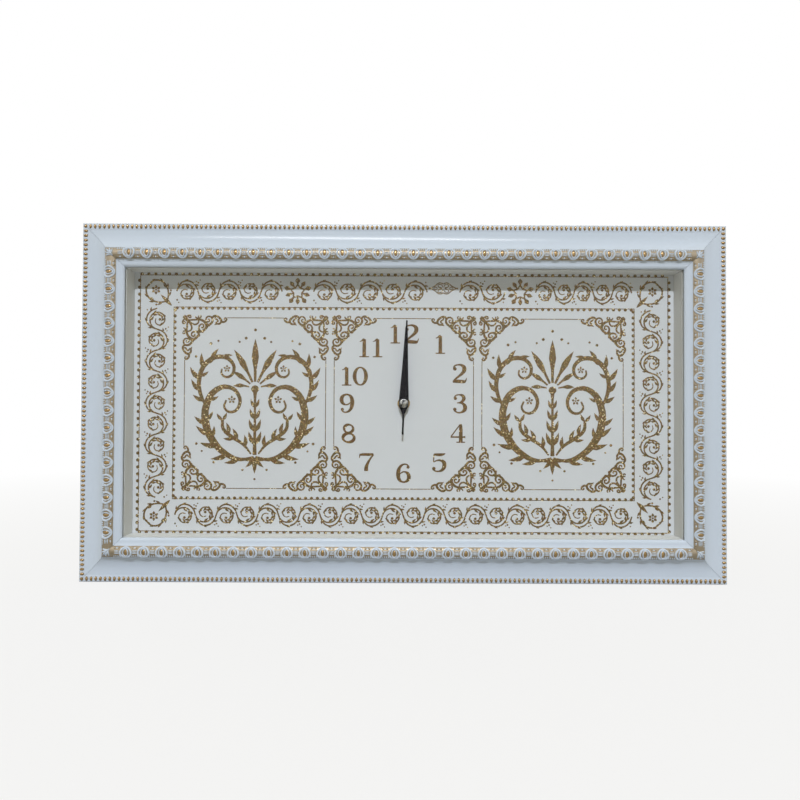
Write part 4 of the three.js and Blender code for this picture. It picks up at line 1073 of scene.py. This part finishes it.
ringDigits = {
    "0": [bowl(0, 0, 5.5, 9.45, 16, 1.75, 0.6)],
    "8": [bowl(0, 5.1, 3.9, 4.35, 12, 1.35, 0.75, -35), bowl(0, -4.7, 4.9, 4.7, 12, 1.55, 0.75, -35)],
}
digits = {
    "1": [
        [(0, -9.2, 1.6), (0, 0, 1.6), (0, 9.2, 1.5)],
        [(-4.6, -9.65, 0.5), (0, -9.65, 0.55), (4.6, -9.65, 0.5)],
        [(-1.9, -9.2, 0.3), (0, -8.6, 1.6), (1.9, -9.2, 0.3)],
        [(-4.5, 6.7, 0.3), (-2.6, 7.4, 0.55), (-0.9, 9.0, 0.9), (0.3, 9.6, 0.5)],
    ],
    "2": [
        dot(-4.35, 5.1, 1.65),
        [(-5.7, 5.4, 0.5), (-4.7, 8.0, 0.75), (-1.8, 9.5, 0.65), (1.7, 9.1, 1.1), (4.1, 6.7, 1.8),
         (4.2, 3.6, 1.85), (2.4, 0.3, 1.4), (-0.9, -3.1, 1.0), (-4.2, -6.4, 0.85), (-5.9, -9.0, 0.8)],
        [(-6.2, -8.9, 0.9), (-3.0, -8.3, 1.55), (2.0, -8.6, 1.6), (5.2, -8.7, 1.2)],
        [(4.6, -8.9, 1.1), (5.8, -7.0, 0.55), (6.5, -4.6, 0.3)],
    ],
    "3": [
        dot(-4.2, 5.7, 1.55),
        [(-5.3, 6.3, 0.5), (-3.7, 8.8, 0.65), (-0.6, 9.6, 0.6), (2.6, 8.5, 1.4), (3.6, 5.6, 1.7),
         (2.2, 2.6, 1.2), (-0.8, 1.0, 0.6), (-2.6, 0.9, 0.5)],
        [(-1.2, 1.0, 0.5), (2.6, 0.2, 1.1), (4.7, -3.3, 1.85), (4.2, -6.8, 1.7), (1.4, -9.3, 0.8),
         (-2.2, -9.5, 0.65), (-5.2, -7.4, 0.7)],
        dot(-4.6, -6.1, 1.6),
    ],
    "4": [
        [(2.0, 9.6, 0.5), (-2.1, 3.2, 0.55), (-6.3, -3.7, 0.6)],
        [(-6.6, -4.1, 0.7), (0, -4.1, 0.7), (6.6, -4.1, 0.7)],
        [(2.3, 9.9, 1.0), (2.5, 6.0, 1.65), (2.5, 0, 1.65), (2.5, -9.2, 1.65)],
        [(-1.5, -9.7, 0.45), (2.5, -9.6, 0.6), (6.4, -9.7, 0.45)],
        [(6.2, -2.8, 0.3), (6.2, -4.0, 0.4), (6.2, -5.3, 0.3)],
    ],
    "5": [
        [(-4.6, 8.9, 0.8), (-1.5, 8.4, 1.3), (2.2, 8.5, 1.3), (4.6, 9.1, 0.8), (5.9, 9.8, 0.2)],
        [(-4.5, 8.9, 0.6), (-4.8, 4.6, 0.6), (-5.0, 0.6, 0.5)],
        [(-5.0, 0.4, 0.4), (-2.2, 2.0, 0.65), (1.4, 2.3, 1.0), (4.4, 0.2, 1.75), (4.9, -3.6, 1.9),
         (3.2, -7.7, 1.4), (-0.4, -9.5, 0.7), (-3.8, -8.9, 0.7), (-5.7, -7.2, 0.6)],
        dot(-4.7, -6.5, 1.6),
    ],
    "6": [
        dot(4.2, 6.6, 1.5),
        [(5.2, 7.2, 0.4), (3.2, 9.2, 0.65), (0.2, 9.6, 0.7), (-3.2, 7.2, 1.2), (-5.0, 2.6, 1.75),
         (-5.3, -2.6, 1.85), (-4.2, -6.8, 1.5), (-1.6, -9.2, 0.8), (1.6, -9.2, 0.9), (4.4, -6.8, 1.6),
         (5.0, -3.4, 1.8), (3.8, -0.2, 1.4), (1.2, 1.5, 0.7), (-1.6, 1.0, 0.6), (-4.2, -1.6, 0.5)],
    ],
    "7": [
        [(-5.8, 8.5, 0.9), (-3.0, 8.8, 1.25), (2.0, 8.8, 1.3), (6.2, 9.1, 0.9)],
        [(-5.9, 9.6, 0.4), (-6.1, 7.6, 0.5), (-6.4, 5.0, 0.4)],
        [(6.3, 8.9, 0.7), (3.6, 4.6, 0.8), (1.2, -0.4, 1.2), (-0.2, -5.2, 1.7), (-0.3, -9.0, 1.85)],
    ],
}
digits["9"] = placed(digits["6"], turn=180)
dialPlaces = {
    "12": (0.6, 75.0), "1": (39.3, 64.0), "2": (60.2, 32.5), "3": (60.6, 0.0), "4": (58.7, -31.9),
    "5": (38.3, -63.5), "6": (0.3, -75.2), "7": (-39.8, -64.0), "8": (-59.3, -32.6), "9": (-61.5, -0.1),
    "10": (-52.4, 29.2), "11": (-35.9, 60.0),
}
pairPlaces = {"10": (-9.3, 5.4), "11": (-7.0, 7.4), "12": (-10.0, 7.6)}
numeral = {
    "weight": 1.2,
    "widen": 1.12,
    "wider": {"2": 1.18, "3": 1.18, "4": 1.2, "5": 1.18, "7": 1.2, "8": 1.24},
}


def printNumerals():
    for name, (x, y) in dialPlaces.items():
        shapes = []
        for digit, shift in zip(name, pairPlaces.get(name, (0,))):
            widen, weight = numeral["wider"].get(digit, numeral["widen"]), numeral["weight"]
            closed = digit in ringDigits
            strokes = ringDigits[digit] if closed else digits[digit]
            strokes = [[(a * widen, b, half * weight) for a, b, half in stroke] for stroke in strokes]
            shapes.append(drawn(placed(strokes, (x + shift, y)), closed))
        hang(joined("numeral_" + name, shapes), "clock", "numeral_gold")


printNumerals()
print("numerals printed")


# Hands, cap, nut and washer

hands = {
    "lean": -1.9,
    "fineZone": 14,  # the outline is cut finely within this of the hub
    "fineStep": 0.7,
    "hour": {
        "half": [(0, -14.8), (5.0, -3), (5.15, 5.6), (1.95, 59.1), (0, 64)],
        "hub": 5.2, "hole": 3.0, "rear": 26.8, "front": 27.2, "edge": 0.09,
    },
    "minute": {
        "half": [(0, -14.4), (4.7, -3), (4.7, 5.6), (1.35, 79.5), (0, 84)],
        "hub": 5.2, "hole": 2.1, "rear": 28.8, "front": 29.2, "edge": 0.09,
    },
    "second": {
        "half": [(0.98, -33.5), (1.0, -1.5), (0.85, 5.6), (0.85, 88.5)],
        "hub": 2.2, "hole": 0.8, "rear": 31.5, "front": 31.9, "edge": 0.08,
    },
}
cap = {"radius": 4.9, "rise": 1.35, "rim": 0.5, "rear": 32.2, "bevel": 0.12}
washer = {"radius": 6.8, "hole": 4.3, "rear": 22.8, "front": 23.3, "edge": 0.1}
minuteRing = {"radius": 3.4, "hole": 2.1, "rear": 29.5, "front": 30.7, "edge": 0.15}
nut = {"radius": 6.69, "depth": 2, "bore": 4.3, "middle": 24.6, "bevel": 0.12}
nutChamfer = {"radius1": 7.6, "radius2": 5.6, "depth": 2.1}


def plate(name, outline, hole, values):
    curve = newCurve()
    for points in (outline, hole):
        spline = curve.splines.new("POLY")
        spline.points.add(len(points) - 1)
        for point, (x, y) in zip(spline.points, points):
            point.co = (x, y, 0, 1)
        spline.use_cyclic_u = True
    curve.dimensions = "2D"
    curve.fill_mode = "BOTH"
    curve.extrude = (values["front"] - values["rear"]) / 2 - values["edge"]
    curve.bevel_depth = values["edge"]
    curve.bevel_resolution = 1
    curve.offset = -values["edge"]
    made = laid(curveMesh(0.0005), (0, 0, (values["front"] + values["rear"]) / 2))
    made.name = name
    return made


def circle(radius, steps):
    return [polar(radius, 360 * i / steps) for i in range(steps)]


def bladeOutline(half, radius):  # half is the right side, and the hub shows where it is wider
    outline = half + [(-x, y) for x, y in reversed(half) if x]
    made = []
    for (x, y), (nextX, nextY) in zip(outline, outline[1:] + outline[:1]):
        near = min(abs(y), abs(nextY)) < hands["fineZone"]
        cuts = max(1, int(math.hypot(nextX - x, nextY - y) / hands["fineStep"])) if near else 1
        for i in range(cuts):
            placeX, placeY = x + (nextX - x) * i / cuts, y + (nextY - y) * i / cuts
            grow = max(1, radius / math.hypot(placeX, placeY))
            made.append((placeX * grow, placeY * grow))
    return made


def makeHands():
    for name in ("hour", "minute", "second"):
        values = hands[name]
        outline = bladeOutline(values["half"], values["hub"])
        made = plate(name + "_blade", outline, circle(values["hole"], 24), values)
        hang(laid(made, turn=hands["lean"]), name, "hand_black", name + "_hand", smooth=50)


def makeCap():
    made = added(bpy.ops.mesh.primitive_uv_sphere_add, segments=40, ring_count=24, radius=1)
    laid(made, size=(cap["radius"], cap["radius"], cap["rise"]))
    cutOff(made, (0, 0, 0), (0, 0, -1))
    editWhere(made, lambda normal: normal.z < -0.9)
    bpy.ops.mesh.extrude_region_move(TRANSFORM_OT_translate={"value": (0, 0, -cap["rim"])})
    doneEditing()
    bevelled(made, cap["bevel"], 2, 60)
    laid(made, (0, 0, cap["rear"] + cap["rim"]))
    made.name = "polished_cap"
    hang(made, "second", "chrome", "second_hand_cap", smooth=40)


def makeNut():
    depth = nut["depth"]
    made = added(bpy.ops.mesh.primitive_cylinder_add, vertices=6, radius=nut["radius"], depth=depth)
    chamfer = added(bpy.ops.mesh.primitive_cone_add, vertices=48, **nutChamfer)
    bore = added(bpy.ops.mesh.primitive_cylinder_add, vertices=40, radius=nut["bore"], depth=2 * depth)
    for operation, tool in (("INTERSECT", chamfer), ("DIFFERENCE", bore)):
        finishWith(made, "BOOLEAN", operation=operation, object=tool)
        bpy.data.objects.remove(tool)
    bevelled(made, nut["bevel"], 2, 30)
    made.name = "brass_nut"
    hang(laid(made, (0, 0, nut["middle"])), "clock", "brass", "mounting_nut", smooth=40)


def makeWasher():
    made = plate("brass_washer", circle(washer["radius"], 56), circle(washer["hole"], 40), washer)
    hang(made, "clock", "brass", "mounting_washer", smooth=40)


def makeMinuteRing():
    outline, hole = circle(minuteRing["radius"], 40), circle(minuteRing["hole"], 28)
    hang(plate("minute_nut_ring", outline, hole, minuteRing), "minute", "chrome", "minute_nut", smooth=40)


battery = {
    "radius": 7.2,
    "ends": (-24.7, 24.8),
    "rim": 0.8,
    "dip": 0.35,
    "capRadius": 2.75,
    "capLength": 1.0,
    "footRim": 1.0,
    "footDip": 0.3,
    "bevel": 0.28,
    "place": (-19.2, 8.45),
}


def makeBattery():
    left, right = battery["ends"]
    made = settle(added(bpy.ops.mesh.primitive_cylinder_add, vertices=48, radius=battery["radius"],
                        depth=right - left, rotation=(0, math.radians(90), 0)))
    editWhere(made, lambda normal: normal.x > 0.9)
    bpy.ops.mesh.inset(thickness=battery["rim"])
    bpy.ops.transform.translate(value=(-battery["dip"], 0, 0))
    bpy.ops.mesh.inset(thickness=battery["radius"] - battery["rim"] - battery["capRadius"])
    out = (battery["capLength"] + battery["dip"], 0, 0)
    bpy.ops.mesh.extrude_region_move(TRANSFORM_OT_translate={"value": out})
    doneEditing()
    editWhere(made, lambda normal: normal.x < -0.9)
    bpy.ops.mesh.inset(thickness=battery["footRim"])
    bpy.ops.transform.translate(value=(battery["footDip"], 0, 0))
    doneEditing()
    bevelled(made, battery["bevel"], 3, 40)
    made.name = "battery_cell"
    laid(made, ((left + right) / 2, *battery["place"]))
    hang(made, "battery", "battery_wrap", "battery", smooth=40)


makeHands()
makeCap()
makeWasher()
makeNut()
makeMinuteRing()
makeBattery()
print("hands and fittings made")
